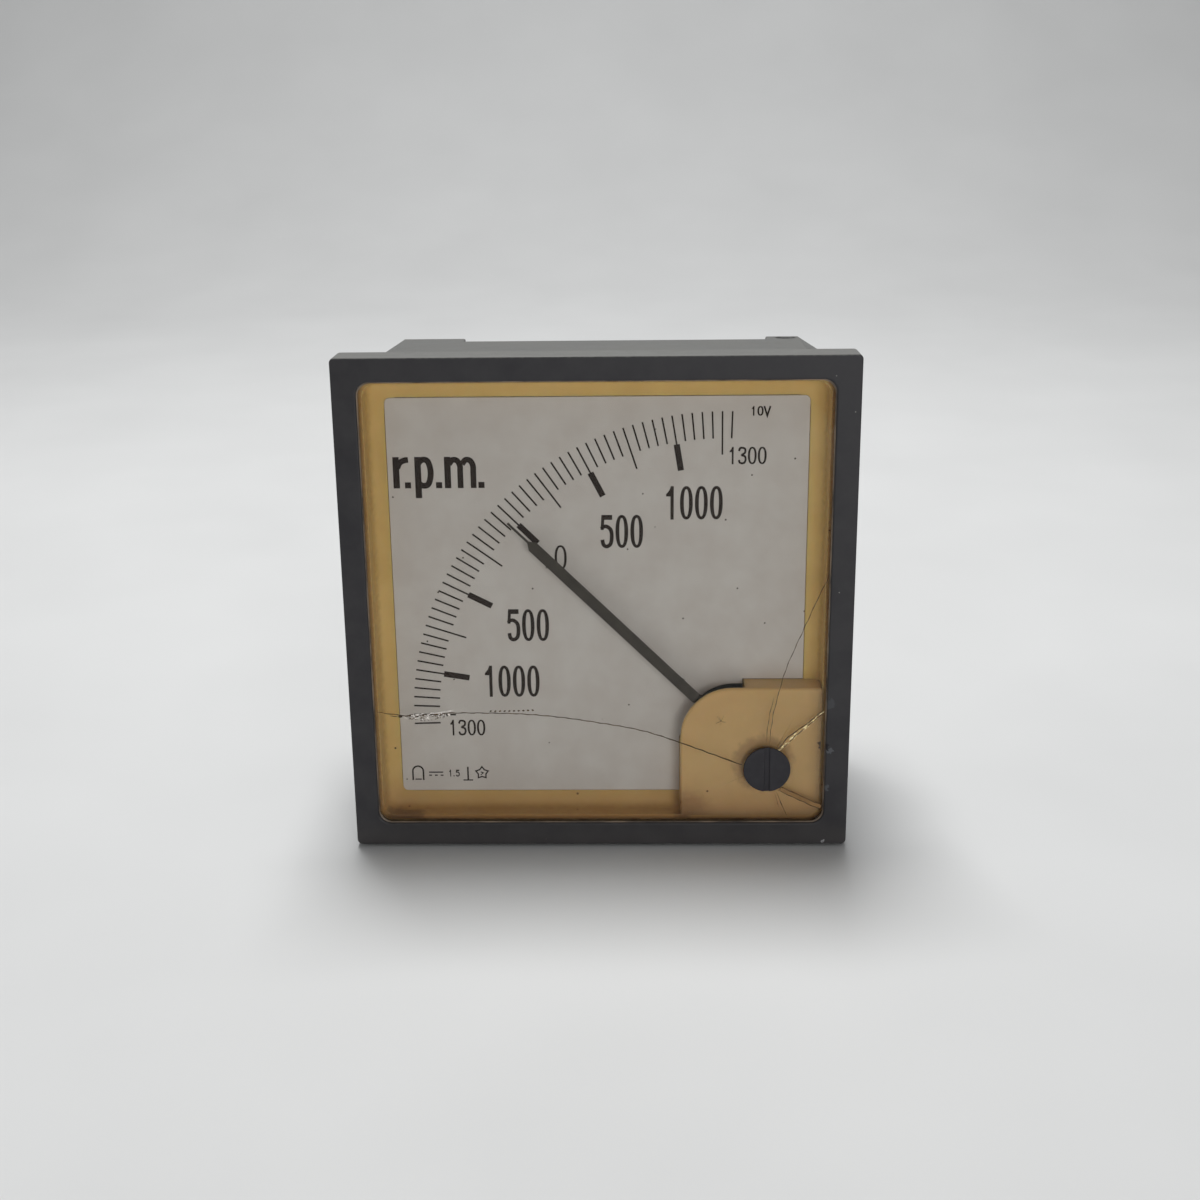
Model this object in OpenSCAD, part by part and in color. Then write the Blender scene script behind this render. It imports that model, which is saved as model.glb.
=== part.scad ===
// Square panel tachometer with a corner pointer and a moving-coil movement.
// Axes: +X to the right and +Z up on the dial, +Y into the panel.
// The origin is the centre of the bezel's rear face, in the panel's front plane.
// Depths are measured backwards from the bezel's front face.

/* [Bezel] */
// Width and height of the square bezel
bezel_w = 96; // [90:0.5:110]
// Depth of the bezel from its front face to the panel
bezel_t = 7; // [6.5:0.25:8]
// Width of the bezel's front face round the viewing opening
frame_w = 4.5; // [4.5:0.1:5.2]
// Outer corner radius of the bezel
bezel_corner_r = 1; // [0.5:0.25:2.5]
// Corner radius of the viewing opening
opening_corner_r = 2.5; // [1:0.25:4]
// Thickness of the lip in front of the pane
lip_t = 0.6; // [0.4:0.1:1]
// Length of each snap bead inside the bezel
bead_len = 10; // [6:1:14]

/* [Window] */
// Thickness of the pane
window_t = 1.4; // [1:0.1:1.8]
// How far the pane reaches behind the lip on each side
pane_overlap = 0.9; // [0.6:0.1:1]
// Thickness of the sealing frame behind the pane
seal_t = 0.5; // [0.3:0.1:0.8]

/* [Case] */
// How far the bezel stands out round the case
flange = 3; // [2.6:0.1:3.4]
// Depth of the outer face of the rear wall
case_depth = 42; // [41:0.5:50]
// Wall of the case
case_wall = 2; // [1.6:0.1:2.6]
// Wall of the case round the dial tray
rim_wall = 1.1; // [1:0.1:1.4]
// Depth at which the four long edges become chamfered
chamfer_from = 12; // [11:0.5:20]
// Chamfer of the long edges, measured along X
chamfer_x = 4.4; // [3:0.1:6]
// Chamfer of the long edges, measured along Z
chamfer_z = 2.8; // [2.4:0.1:4]
// How far the corner feet stand out behind the rear wall
foot_h = 4; // [3:0.25:6]
// Length of the feet along the top and bottom, on the long side
foot_long = 17; // [13:0.5:22]
// Length of the feet along the top and bottom, on the short side
foot_short = 11; // [10:0.5:14]
// Length of the feet down the sides
foot_side = 12; // [8:0.5:16]
// Width of the clamp slot in a foot
clamp_slot_w = 3.8; // [3:0.1:5]
// Depth-wise size of the clamp slot
clamp_slot_d = 2; // [1.4:0.1:2.4]
// Distance of the clamp slot from the case's side
clamp_slot_in = 7; // [6.5:0.25:8]

/* [Dial] */
// Gap between the pane and the dial
dial_gap = 5; // [5:0.1:6]
// Distance between the tray's wall and the dial's edge
dial_margin = 3.3; // [2:0.1:4.5]
// Thickness of the dial
dial_t = 1; // [0.8:0.1:1.5]
// Corner radius of the dial
dial_corner_r = 1; // [0.4:0.1:2]
// Distance of the pointer's axis from the dial's right and lower edges
pivot_in = 15.8; // [15:0.1:17]
// Distance between the outer ends of the divisions and the dial's left and upper edges
scale_margin = 2.9; // [2:0.1:6]
// Length of a short division
minor_len = 5.1; // [3:0.1:7]
// Length of a long division
long_len = 8.2; // [6:0.1:10]
// Length of a heavy division
block_len = 5; // [3:0.1:7]
// Width of a short division
minor_w = 0.3; // [0.2:0.05:0.6]
// Width of a heavy division
block_w = 1.15; // [0.8:0.05:1.6]
// Thickness of the printed divisions
mark_t = 0.06; // [0.04:0.01:0.15]
// Speed at each end of the scale, in revolutions a minute
scale_max = 1300; // [1000:100:1300]
// Angle between the zero mark and each end of the scale
scale_end = 46.4; // [45:0.1:46.6]
// Thickness of the tray under the dial
tray_floor_t = 1.2; // [1:0.1:2]
// Wall of the tray
tray_wall = 1; // [0.7:0.1:1.2]

/* [Corner cover] */
// Distance of the cover's free edges from the pointer's axis
cover_r = 8.1; // [8:0.05:9]
// Radius of the cover's round corner
cover_corner_r = 10.5; // [9:0.1:11]
// Thickness of the cover's face
cover_t = 0.8; // [0.7:0.05:1]
// Wall of the cover
cover_wall = 0.9; // [0.7:0.05:1]
// How far the pointer's opening runs past the pointer's axis at each end
slot_past = 4.7; // [4:0.1:6]
// How far the dial reaches in under that opening
ledge_w = 1.45; // [1:0.05:1.5]
// How far the dial's ledge runs past the pointer's axis at each end
ledge_past = 3.9; // [3:0.1:3.9]

/* [Zero adjuster] */
// Distance of the adjuster from the pointer's axis
adjuster_r = 12.2; // [12:0.1:14]
// Radius of the adjuster's disc
disc_r = 4.55; // [4:0.05:5]
// Thickness of the disc
disc_t = 0.5; // [0.3:0.05:0.6]
// Radius of the shaft in the pane
adjuster_shaft_r = 2.5; // [2:0.1:2.8]
// How far the pin stands off the adjuster's axis
eccentric = 0.9; // [0.7:0.05:1.2]
// Radius of the eccentric pin
eccentric_pin_r = 0.5; // [0.4:0.05:0.6]

/* [Pointer] */
// Width of the pointer's bar
pointer_w = 2.1; // [1.6:0.1:2.6]
// Thickness of the pointer
pointer_t = 0.2; // [0.15:0.01:0.3]
// How far the pointer ends short of the outer ends of the divisions
tip_short = 3.3; // [1.8:0.1:6]
// Length of the knife tip past the taper
knife_len = 5.3; // [3:0.1:8]
// Length of the taper between bar and knife tip
taper_len = 1.2; // [0.6:0.1:3]
// Width of the knife tip
tip_w = 0.4; // [0.25:0.05:0.7]
// Angle of the resting pointer from the zero mark, towards minus
rest_offset = 0.4; // [0:0.1:3]
// Angle from the zero mark at which the pointer meets a stop
pointer_stop = 47.6; // [47:0.1:49]

/* [Movement] */
// Radius of the core magnet
core_r = 7; // [6.4:0.1:7.2]
// Length of the core magnet
core_len = 8.8; // [8:0.1:10]
// Air gap between the core and the coil
core_gap = 0.5; // [0.4:0.05:0.7]
// Thickness of the coil former
former_t = 0.25; // [0.2:0.05:0.4]
// Thickness of the winding
winding_t = 0.65; // [0.4:0.05:0.8]
// Width of the coil
coil_w = 3.2; // [2.6:0.1:3.6]
// Air gap between the coil and the ring
ring_gap = 0.45; // [0.4:0.05:0.8]
// Thickness of the iron ring
ring_t = 5.6; // [5:0.1:6]
// Length of the iron ring
ring_len = 12; // [11.6:0.1:14]
// Height of the tray's bosses under the ring
boss_h = 2; // [1.6:0.1:3]
// Width of the bridge strips
bridge_w = 3.4; // [3:0.1:3.8]
// Thickness of the bridge strips
bridge_t = 0.6; // [0.5:0.05:0.8]
// Rise of the rear bridge above its feet
rear_rise = 2.8; // [2.6:0.1:4]
// Radius of the jewel screws
jewel_r = 1.5; // [1.3:0.05:1.6]
// Radius of the staffs
staff_r = 0.5; // [0.4:0.05:0.6]
// Outer radius of the hairsprings
spring_r = 5.4; // [4.6:0.1:5.5]
// Turns of each hairspring
spring_turns = 4; // [3:1:5]
// Thickness of the hairspring strip
spring_t = 0.12; // [0.08:0.01:0.2]
// Width of the hairspring strip
spring_w = 0.4; // [0.3:0.05:0.5]
// Radius of the tail weight
tail_r = 1.57; // [1.2:0.01:1.6]
// Length of the tail weight
tail_len = 3; // [2:0.05:3.1]
// Radius of the stop pins
stop_pin_r = 0.4; // [0.3:0.05:0.5]

/* [Terminals] */
// Distance of each terminal from the centre line
term_x = 19; // [16:0.5:24]
// Height of the terminals
term_z = -6; // [-8:0.5:4]
// Outer radius of the M4 studs
term_r = 2; // [1.9:0.05:2]
// Radius of the studs at the root of their thread
term_core_r = 1.65; // [1.5:0.05:1.7]
// Free length of the studs behind the nuts
term_free = 8; // [5:0.5:15]
// Depth of the front face of the resistor board
board_depth = 31; // [30.5:0.25:32]
// Width of the resistor board
board_w = 62; // [56:1:70]
// Height of the resistor board
board_h = 36; // [32:1:44]
// Thickness of the resistor board
board_t = 1.4; // [1:0.1:1.8]

/* [Hidden] */
$fn = 64;

// Clearances
push_fit = 0.1;
seat_fit = 0.02;
run_fit = 0.05;
thin = 0.1;
cut = 1;

// Depths of the front stack
pane_rear = lip_t + window_t;
rim_front = pane_rear + seal_t;
dial_front = pane_rear + dial_gap;
floor_front = dial_front + dial_t;
floor_rear = floor_front + tray_floor_t;
cover_front = pane_rear + push_fit;
cover_rear = cover_front + cover_t;

// Half widths of the front stack
opening_half = bezel_w / 2 - frame_w;
pane_half = opening_half + pane_overlap;
case_half = bezel_w / 2 - flange;
recess_half = case_half - rim_wall;
tray_half = recess_half - push_fit;
tray_inner_half = tray_half - tray_wall;
cover_half = tray_inner_half - push_fit;
dial_half = tray_inner_half - dial_margin;
tray_corner_r = opening_corner_r;
case_corner_r = 1.5;

// Snap joint between bezel and case
groove_d = 0.45;
groove_len = 1.2;
bead_h = 0.35;
bead_w = 0.8;
bead_x = 25;
groove_rear = bezel_t - 1.2;

// Pointer axis, and what lies round it
pivot_offset = dial_half - pivot_in;
pivot = [pivot_offset, -pivot_offset];
scale_r = dial_half + pivot_offset - scale_margin;
tip_r = scale_r - tip_short;
bar_r = tip_r - knife_len - taper_len;
mid_deg = 135;
pointer_deg = mid_deg + rest_offset;
leg_gap = 0.2;
leg_r = (cover_r - cover_wall - leg_gap) * sqrt(2) - bridge_w / 2;
leg_t = 0.8;
well_r = norm([leg_r, bridge_w / 2]) + leg_gap;
cover_slit = 0.15;
post_in = 3;
post_r = 2;

// Movement, front to back
bridge_front = cover_rear + thin;
bridge_rear = bridge_front + bridge_t;
lever_front = bridge_rear + thin;
lever_t = 0.4;
lever_rear = lever_front + lever_t;
nut_front = lever_rear + run_fit;
nut_t = 0.35;
jewel_rear = nut_front + nut_t + thin;
spring_gap = 0.3;
spring_front = jewel_rear + spring_gap;
hub_front = spring_front + spring_w + spring_gap;
hub_r = 2.2;
arm_gap = 0.4;
arm_front = cover_rear + arm_gap;
balance_front = hub_front + pointer_t;
balance_t = 0.8;
balance_mid = balance_front + balance_t / 2;
ring_front = floor_rear + boss_h;
ring_rear = ring_front + ring_len;
core_front = ring_front + (ring_len - core_len) / 2;
core_rear = core_front + core_len;
end_gap = 0.35;
coil_front = core_front - end_gap - former_t - winding_t;
coil_rear = core_rear + end_gap + former_t + winding_t;
coil_half = core_r + core_gap + former_t + winding_t;
former_lip = 0.2;
winding_w = coil_w - 2 * former_lip;
ring_in = norm([coil_half, coil_w / 2]) + ring_gap;
ring_out = ring_in + ring_t;
foot_r = (ring_in + ring_out) / 2;
foot_in = 1;
foot_t = 0.8;
foot_end = ring_out - foot_in;
foot_front = ring_front - foot_t;
foot_rear = ring_rear + foot_t;
rear_plate = foot_rear + rear_rise - bridge_t;
rear_plate_end = rear_plate + bridge_t;
rear_jewel_in = 1;
rear_jewel_out = 1.4;
rear_jewel_front = rear_plate - rear_jewel_in;
rear_jewel_end = rear_plate_end + rear_jewel_out;
rear_spring_gap = 1;
rear_spring_front = coil_rear + rear_spring_gap;
anchor_r = 1.6;
anchor_t = 0.3;
pivot_gap = 0.12;
cup_d = 0.6;
screw_slot_d = 0.3;
nut_rim = 1.2;
rear_nut_rim = 1.4;
rear_nut_t = 1;
stud_r = 0.45;
stud_ring = spring_r + spring_t / 2 + stud_r + seat_fit;
collet_r = 1.15;
collet_t = 0.6;
rod_r = 0.35;
side_gap = 0.9;
side_rod = leg_r - leg_t - side_gap;
side_weight_r = 0.7;
side_weight_len = 1.6;

// Stop pins and the tail that meets them
stop_in = 0.8;
tail_gap = 0.5;
tail_past = 0.4;
stop_past = 0.6;
stop_r = well_r + stop_pin_r + stop_in;
stop_touch = asin((stop_pin_r + rod_r + run_fit / 2) / stop_r);
stop_deg = pointer_stop + stop_touch;
tail_end = stop_r - stop_pin_r - tail_gap;
stop_front = balance_mid - rod_r - stop_past;

// Screws
screw_r = 0.8;
screw_head_r = 1.5;
screw_head_t = 0.8;
screw_len = 4;
long_screw_r = 1;
long_head_r = 1.9;
long_head_t = 1.2;
boss_r = 2.6;
boss_hole_d = 2.4;
slot_w = 0.5;

// Lever
lever_arm_w = 2.2;
fork_w = 3.6;
fork_fit = 0.12;
fork_slot = 2 * (eccentric_pin_r + fork_fit);
fork_depth = 0.6;
fork_lip = 0.7;
fork_from = adjuster_r - fork_depth;
fork_end = adjuster_r + eccentric + eccentric_pin_r + fork_lip;
stud_deg = 240;

// Adjuster
adjuster_front = lip_t - disc_t;
clip_r = 3.2;
clip_t = 0.4;
cover_hole_r = 3.6;

// Scale
division = 50;
rev_step = scale_end / scale_max;
marks = 2 * scale_max / division;
block_lap = 0.4;
block_out = scale_r - minor_len - block_lap;
block_in = block_out - block_len;

// Case behind the recess
inner_half = case_half - case_wall;
chamfer_len = norm([chamfer_x, chamfer_z]);
inner_chamfer_x = chamfer_x - case_wall + case_wall * (chamfer_len - chamfer_x) / chamfer_z;
inner_chamfer_z = chamfer_z - case_wall + case_wall * (chamfer_len - chamfer_z) / chamfer_x;
wall_front = case_depth - case_wall;
foot_wall = 2.4;
foot_back = case_depth + foot_h;

// Terminals
term_boss_r = 5.5;
term_boss_h = 1;
term_seat = case_depth + term_boss_h;
washer_t = 0.8;
washer_r = 4.5;
nut_r = 4;
outer_nut_t = 3.2;
inner_nut_t = 2;
board_nut_t = 1.6;
nut_end = term_seat + washer_t + outer_nut_t;
stud_relief = 0.5;
free_from = nut_end + stud_relief;
board_rear = board_depth + board_t;
board_z = -2;
stud_past = 0.4;
stud_front = board_depth - board_nut_t - stud_past;
spacer_wall = 1.4;
resistor_x = -12;
resistor_up = 5;
resistor_pitch = 6;
resistor_r = 1.8;
resistor_len = 9;
resistor_wire_r = 0.3;
resistor_reach = 7;
trimmer_x = 6;
trimmer_up = 9;
trimmer_side = 9.5;
trimmer_high = 4.8;
trimmer_screw_r = 2.6;
trimmer_screw_h = 0.5;
trimmer_slot_w = 0.6;
lead_r = 0.5;

// Where the two leads leave the board, to the right of and below its centre
outer_lead_x = 28;
outer_lead_down = 8;
inner_lead_x = 6;
inner_lead_down = 15;

bezel_color = "#353336";
case_color = "#6a6a68";
amber = "#a08552";
dial_color = "#a9a49c";
print_color = "#3a3532";
brass = "#c8a552";
steel = "#b4b6ba";

// A flat outline in X and Z, carried from one depth to another
module layer(from, to) {
    translate([0, to - bezel_t, 0])
        rotate([90, 0, 0])
            linear_extrude(to - from) children();
}

// A round bar along Y
module bar(r, from, to) {
    translate([0, to - bezel_t, 0])
        rotate([90, 0, 0])
            cylinder(r = r, h = to - from);
}

// A turned shape about Y, from a half profile of radius and depth
module turned() {
    translate([0, -bezel_t, 0])
        rotate([90, 0, 0])
            rotate_extrude()
                mirror([0, 1]) children();
}

// A block centred on the Y axis
module block(wide, half_high, from, to) {
    translate([-wide / 2, from - bezel_t, -half_high])
        cube([wide, to - from, 2 * half_high]);
}

// Puts what is drawn round the Y axis on the pointer's axis, turned left by an angle
module at_pivot(deg = 0) {
    translate([pivot[0], 0, pivot[1]])
        rotate([0, -deg, 0]) children();
}

// Moves a piece out from the Y axis in a direction
module out(r, deg = 0) {
    rotate([0, -deg, 0])
        translate([r, 0, 0]) children();
}

module at_adjuster() {
    at_pivot(mid_deg + 180)
        translate([adjuster_r, 0, 0]) children();
}

// Both terminals, left and right
module at_terminals() {
    for (side = [-1, 1])
        translate([side * term_x, 0, term_z]) children();
}

// Square outline with round corners, by half width
module round_square(half, r) {
    square([2 * (half - r), 2 * half], center = true);
    square([2 * half, 2 * (half - r)], center = true);
    for (x = [-1, 1], y = [-1, 1])
        translate([x * (half - r), y * (half - r)]) circle(r);
}

// Square outline with cut corners, by half width
module cut_square(half, cx, cz) {
    polygon([[half - cx, half], [half, half - cz], [half, cz - half], [half - cx, -half],
        [cx - half, -half], [-half, cz - half], [-half, half - cz], [cx - half, half]]);
}

// Outline of the corner cover, grown by a margin on its two free sides and its round corner
module cover_outline(grow, reach) {
    r = cover_corner_r + grow;
    shift = cover_corner_r - cover_r;
    mid = [pivot[0] + shift, pivot[1] - shift];
    translate(mid) circle(r);
    translate([mid[0] - r, -reach])
        square([reach - mid[0] + r, reach + mid[1]]);
    translate([mid[0], -reach])
        square([reach - mid[0], reach + mid[1] + r]);
}

// The corner that the pointer swings over, to a distance past its axis at each end
module swing_corner(past) {
    translate([pivot[0] - 2 * cover_r, pivot[1] - past])
        square([2 * cover_r + past, 2 * cover_r + past]);
}

// Hexagon nut about the Y axis
module hex_nut(r, hole, from, to) {
    difference() {
        layer(from, to) circle(r, $fn = 6);
        bar(hole, from - cut, to + cut);
    }
}

// Plain ring about the Y axis
module ring(r_in, r_out, from, to) {
    difference() {
        bar(r_out, from, to);
        bar(r_in, from - cut, to + cut);
    }
}

// Slotted screw whose head bears at one depth; dir 1 points the shank forward, -1 backward
module slotted_screw(shank_r, head_r, head_t, len, seat, dir) {
    head_from = dir > 0 ? seat : seat - head_t;
    shank_from = dir > 0 ? seat - len : seat;
    face = dir > 0 ? seat + head_t : seat - head_t;
    difference() {
        union() {
            bar(head_r, head_from, head_from + head_t);
            bar(shank_r, shank_from, shank_from + len);
        }
        translate([-head_r, face - bezel_t - head_t / 3, -slot_w / 2])
            cube([2 * head_r, 2 * head_t / 3, slot_w]);
    }
}

module bezel() {
    color(bezel_color) {
        difference() {
            layer(0, bezel_t) round_square(bezel_w / 2, bezel_corner_r);
            layer(-cut, lip_t + cut) round_square(opening_half, opening_corner_r);
            layer(lip_t, rim_front + cut) round_square(pane_half + push_fit, opening_corner_r);
            layer(rim_front, bezel_t + cut) round_square(case_half + push_fit, case_corner_r);
        }
        for (turn = [0, 90, 180, 270], x = [-bead_x, bead_x])
            rotate([0, turn, 0])
                translate([x - bead_len / 2, groove_rear - bezel_t - bead_w - thin,
                    case_half + push_fit - bead_h])
                    cube([bead_len, bead_w, bead_h + cut / 2]);
    }
}

module window() {
    color("#dfe6e4", 0.35)
        difference() {
            layer(lip_t, pane_rear) round_square(pane_half, opening_corner_r);
            at_adjuster() bar(adjuster_shaft_r + run_fit, lip_t - cut, pane_rear + cut);
        }
}

module window_seal() {
    color("#2c2a28")
        difference() {
            layer(pane_rear, rim_front) round_square(pane_half, opening_corner_r);
            layer(pane_rear - cut, rim_front + cut)
                round_square(opening_half, opening_corner_r);
        }
}

module housing() {
    color(case_color) {
        difference() {
            union() {
                layer(rim_front, chamfer_from) round_square(case_half, case_corner_r);
                layer(rim_front + cut, case_depth) cut_square(case_half, chamfer_x, chamfer_z);
                rear_feet();
                at_terminals() bar(term_boss_r, case_depth - cut, term_seat);
            }
            layer(rim_front - cut, floor_rear) round_square(recess_half, tray_corner_r);
            layer(floor_rear - cut, wall_front)
                cut_square(inner_half, inner_chamfer_x, inner_chamfer_z);
            difference() {
                layer(groove_rear - groove_len, groove_rear) square(2 * bezel_w, center = true);
                layer(rim_front, chamfer_from) square(2 * (case_half - groove_d), center = true);
            }
            at_terminals() bar(term_r + thin, wall_front - cut, term_seat + cut);
            clamp_slots();
        }
    }
}

// Corner feet: the case's outline carried on behind the rear wall
module rear_feet() {
    intersection() {
        difference() {
            layer(case_depth - cut, foot_back) cut_square(case_half, chamfer_x, chamfer_z);
            layer(case_depth, foot_back + cut)
                cut_square(case_half - foot_wall, inner_chamfer_x, inner_chamfer_z);
        }
        layer(case_depth - 2 * cut, foot_back + cut) {
            for (half_turn = [0, 180]) rotate(half_turn) {
                translate([-case_half, case_half - foot_side]) square([foot_long, foot_side]);
                translate([case_half - foot_short, case_half - foot_side])
                    square([foot_short, foot_side]);
            }
        }
    }
}

// One slot in the upper right foot and one in the lower left, for the panel clamps
module clamp_slots() {
    half_w = (clamp_slot_w - clamp_slot_d) / 2;
    for (half_turn = [0, 180])
        rotate([0, half_turn, 0])
            translate([case_half - clamp_slot_in, case_depth + foot_h / 2 - bezel_t,
                case_half - foot_wall - cut]) {
                for (side = [-1, 1])
                    translate([side * half_w, 0, 0])
                        cylinder(d = clamp_slot_d, h = foot_wall + 2 * cut);
                translate([-half_w, -clamp_slot_d / 2, 0])
                    cube([2 * half_w, clamp_slot_d, foot_wall + 2 * cut]);
            }
}

module inner_tray() {
    color(amber)
        difference() {
            union() {
                difference() {
                    layer(rim_front, floor_rear) round_square(tray_half, tray_corner_r);
                    layer(rim_front - cut, floor_front)
                        round_square(tray_inner_half, tray_corner_r);
                }
                at_pivot()
                    for (deg = [mid_deg, mid_deg + 180])
                        out(foot_r, deg) bar(boss_r, floor_rear - cut / 2, ring_front);
            }
            at_pivot() {
                bar(well_r, floor_front - cut, floor_rear + cut);
                for (deg = [mid_deg, mid_deg + 180])
                    out(foot_r, deg)
                        bar(long_screw_r + seat_fit, ring_front - boss_hole_d, ring_front + cut);
                for (side = [-1, 1])
                    out(stop_r, mid_deg + 180 + side * stop_deg)
                        bar(stop_pin_r + seat_fit, floor_front - cut, floor_rear + cut);
            }
        }
}

module scale_plate() {
    color(dial_color)
        difference() {
            layer(dial_front, floor_front) round_square(dial_half, dial_corner_r);
            layer(dial_front - cut, floor_front + cut)
                difference() {
                    cover_outline(cover_slit, bezel_w);
                    difference() {
                        swing_corner(ledge_past);
                        cover_outline(-ledge_w, bezel_w);
                    }
                }
        }
}

// A printed bar across the scale, between two radii, at an angle from the zero mark
module mark(r_in, r_out, wide, deg) {
    at_pivot(mid_deg + deg)
        layer(dial_front - mark_t, dial_front)
            translate([r_in, -wide / 2]) square([r_out - r_in, wide]);
}

module scale_marks() {
    color(print_color)
        for (i = [-marks / 2 : marks / 2]) {
            rev = i * division;
            deg = -rev * rev_step;
            heavy = rev % 500 == 0;
            tall = rev % 250 == 0;
            r_in = heavy ? block_out : scale_r - (tall ? long_len : minor_len);
            mark(r_in, scale_r, minor_w, deg);
            if (heavy) mark(block_in, r_in, block_w, deg);
        }
}

module corner_cover() {
    color(amber)
        difference() {
            union() {
                layer(cover_front, cover_rear) cover_plan(0);
                difference() {
                    layer(cover_rear - thin, floor_front) cover_plan(0);
                    layer(cover_front, floor_front + cut) cover_outline(-cover_wall, bezel_w);
                }
                translate([cover_half - post_in, 0, post_in - cover_half])
                    bar(post_r, cover_rear - thin, floor_front);
            }
            layer(cover_rear, floor_front + cut) swing_corner(slot_past);
            at_adjuster() bar(cover_hole_r, cover_front - cut, cover_rear + cut);
        }
}

// The cover's outline, ended just short of the tray's walls
module cover_plan(grow) {
    intersection() {
        cover_outline(grow, cover_half);
        round_square(cover_half, tray_corner_r);
    }
}

module zero_adjuster() {
    color("#232223")
        at_adjuster()
            difference() {
                union() {
                    bar(disc_r, adjuster_front, lip_t);
                    bar(adjuster_shaft_r, lip_t - disc_t / 2, arm_front);
                    translate([eccentric, 0, 0])
                        bar(eccentric_pin_r, cover_rear, lever_rear + 2 * thin);
                }
                rotate([0, mid_deg + 90, 0])
                    translate([-disc_r, adjuster_front - bezel_t - cut, -slot_w])
                        cube([2 * disc_r, cut + 0.6 * disc_t, 2 * slot_w]);
            }
}

module adjuster_clip() {
    color(steel)
        at_adjuster()
            ring(adjuster_shaft_r + seat_fit, clip_r, pane_rear + run_fit, pane_rear + run_fit + clip_t);
}

module zero_lever() {
    color(brass)
        at_pivot() {
            difference() {
                union() {
                    bar(jewel_r + nut_rim, lever_front, lever_rear);
                    layer(lever_front, lever_rear)
                        rotate(mid_deg + 180) {
                            translate([0, -lever_arm_w / 2]) square([fork_end, lever_arm_w]);
                            translate([fork_from - 1, -fork_w / 2])
                                square([fork_end - fork_from + 1, fork_w]);
                        }
                    layer(lever_front, lever_rear)
                        rotate(stud_deg)
                            translate([0, -stud_r - 0.1]) square([stud_ring, 2 * stud_r + 0.2]);
                    out(stud_ring, stud_deg)
                        bar(stud_r, lever_front, spring_front + spring_w);
                }
                bar(jewel_r + run_fit, lever_front - cut, lever_rear + cut);
                layer(lever_front - cut, lever_rear + cut)
                    rotate(mid_deg + 180)
                        translate([fork_from, -fork_slot / 2]) square([fork_end, fork_slot]);
            }
        }
}

module yoke_ring() {
    color("#77787c")
        at_pivot()
            difference() {
                ring(ring_in, ring_out, ring_front, ring_rear);
                for (deg = [mid_deg, mid_deg + 180])
                    out(foot_r, deg)
                        bar(long_screw_r + run_fit, ring_front - cut, ring_rear + cut);
                for (deg = [mid_deg - 90, mid_deg + 90])
                    out(foot_r, deg) {
                        bar(screw_r + seat_fit, ring_front - cut, foot_front + screw_len + thin);
                        bar(screw_r + seat_fit, foot_rear - screw_len - thin, ring_rear + cut);
                    }
            }
}

module core_magnet() {
    color("#5b5c60")
        at_pivot() bar(core_r, core_front, core_rear);
}

module core_spacers() {
    color(brass)
        at_pivot()
            intersection() {
                ring(core_r + seat_fit, ring_in - seat_fit, core_front, core_rear);
                layer(core_front - cut, core_rear + cut)
                    for (deg = [mid_deg, mid_deg + 180])
                        rotate(deg)
                            polygon([[0, 0], [ring_out, 0.4 * ring_out], [ring_out, -0.4 * ring_out]]);
            }
}

// A bridge strip: two feet on the ring, two legs, and a plate with the jewel screw's hole
module bridge(foot_from, foot_to, plate_from, plate_to) {
    from = min(foot_from, plate_from);
    to = max(foot_to, plate_to);
    difference() {
        union() {
            layer(plate_from, plate_to) square([2 * leg_r, bridge_w], center = true);
            for (side = [-1, 1]) {
                layer(foot_from, foot_to)
                    translate([side * (foot_end + leg_r - leg_t) / 2, 0])
                        square([foot_end - leg_r + leg_t, bridge_w], center = true);
                layer(from, to)
                    translate([side * (leg_r - leg_t / 2), 0])
                        square([leg_t, bridge_w], center = true);
            }
        }
        bar(jewel_r + seat_fit, plate_from - cut, plate_to + cut);
        for (side = [-1, 1])
            translate([side * foot_r, 0, 0])
                bar(screw_r + run_fit, foot_from - cut, foot_to + cut);
    }
}

module front_bridge() {
    color(brass)
        at_pivot(mid_deg - 90)
            bridge(foot_front, ring_front, bridge_front, bridge_rear);
}

module rear_bridge() {
    color(brass)
        at_pivot(mid_deg - 90) {
            bridge(ring_rear, foot_rear, rear_plate, rear_plate_end);
            translate([-stud_ring, 0, 0])
                bar(stud_r, rear_spring_front, rear_plate + bridge_t / 2);
        }
}

// Threaded bush with a slot at one end and a conical cup for the pivot at the other
module front_jewel_screw() {
    color("#d9a441")
        at_pivot()
            difference() {
                bar(jewel_r, bridge_front, jewel_rear);
                turned() polygon([[0, jewel_rear - cup_d], [cup_d, jewel_rear],
                    [cup_d, jewel_rear + cut], [0, jewel_rear + cut]]);
                translate([-jewel_r - cut, bridge_front - bezel_t - cut, -slot_w / 2])
                    cube([2 * (jewel_r + cut), cut + screw_slot_d, slot_w]);
            }
}

module rear_jewel_screw() {
    color("#d9a441")
        at_pivot()
            difference() {
                bar(jewel_r, rear_jewel_front, rear_jewel_end);
                turned() polygon([[0, rear_jewel_front + cup_d], [cup_d, rear_jewel_front],
                    [cup_d, rear_jewel_front - cut], [0, rear_jewel_front - cut]]);
                translate([-jewel_r - cut, rear_jewel_end - bezel_t - slot_w, -slot_w / 2])
                    cube([2 * (jewel_r + cut), cut + slot_w, slot_w]);
            }
}

module jewel_lock_nuts() {
    color(brass)
        at_pivot() {
            hex_nut(jewel_r + nut_rim, jewel_r + seat_fit, nut_front, nut_front + nut_t);
            hex_nut(jewel_r + rear_nut_rim, jewel_r + seat_fit, rear_plate_end,
                rear_plate_end + rear_nut_t);
        }
}

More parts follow.
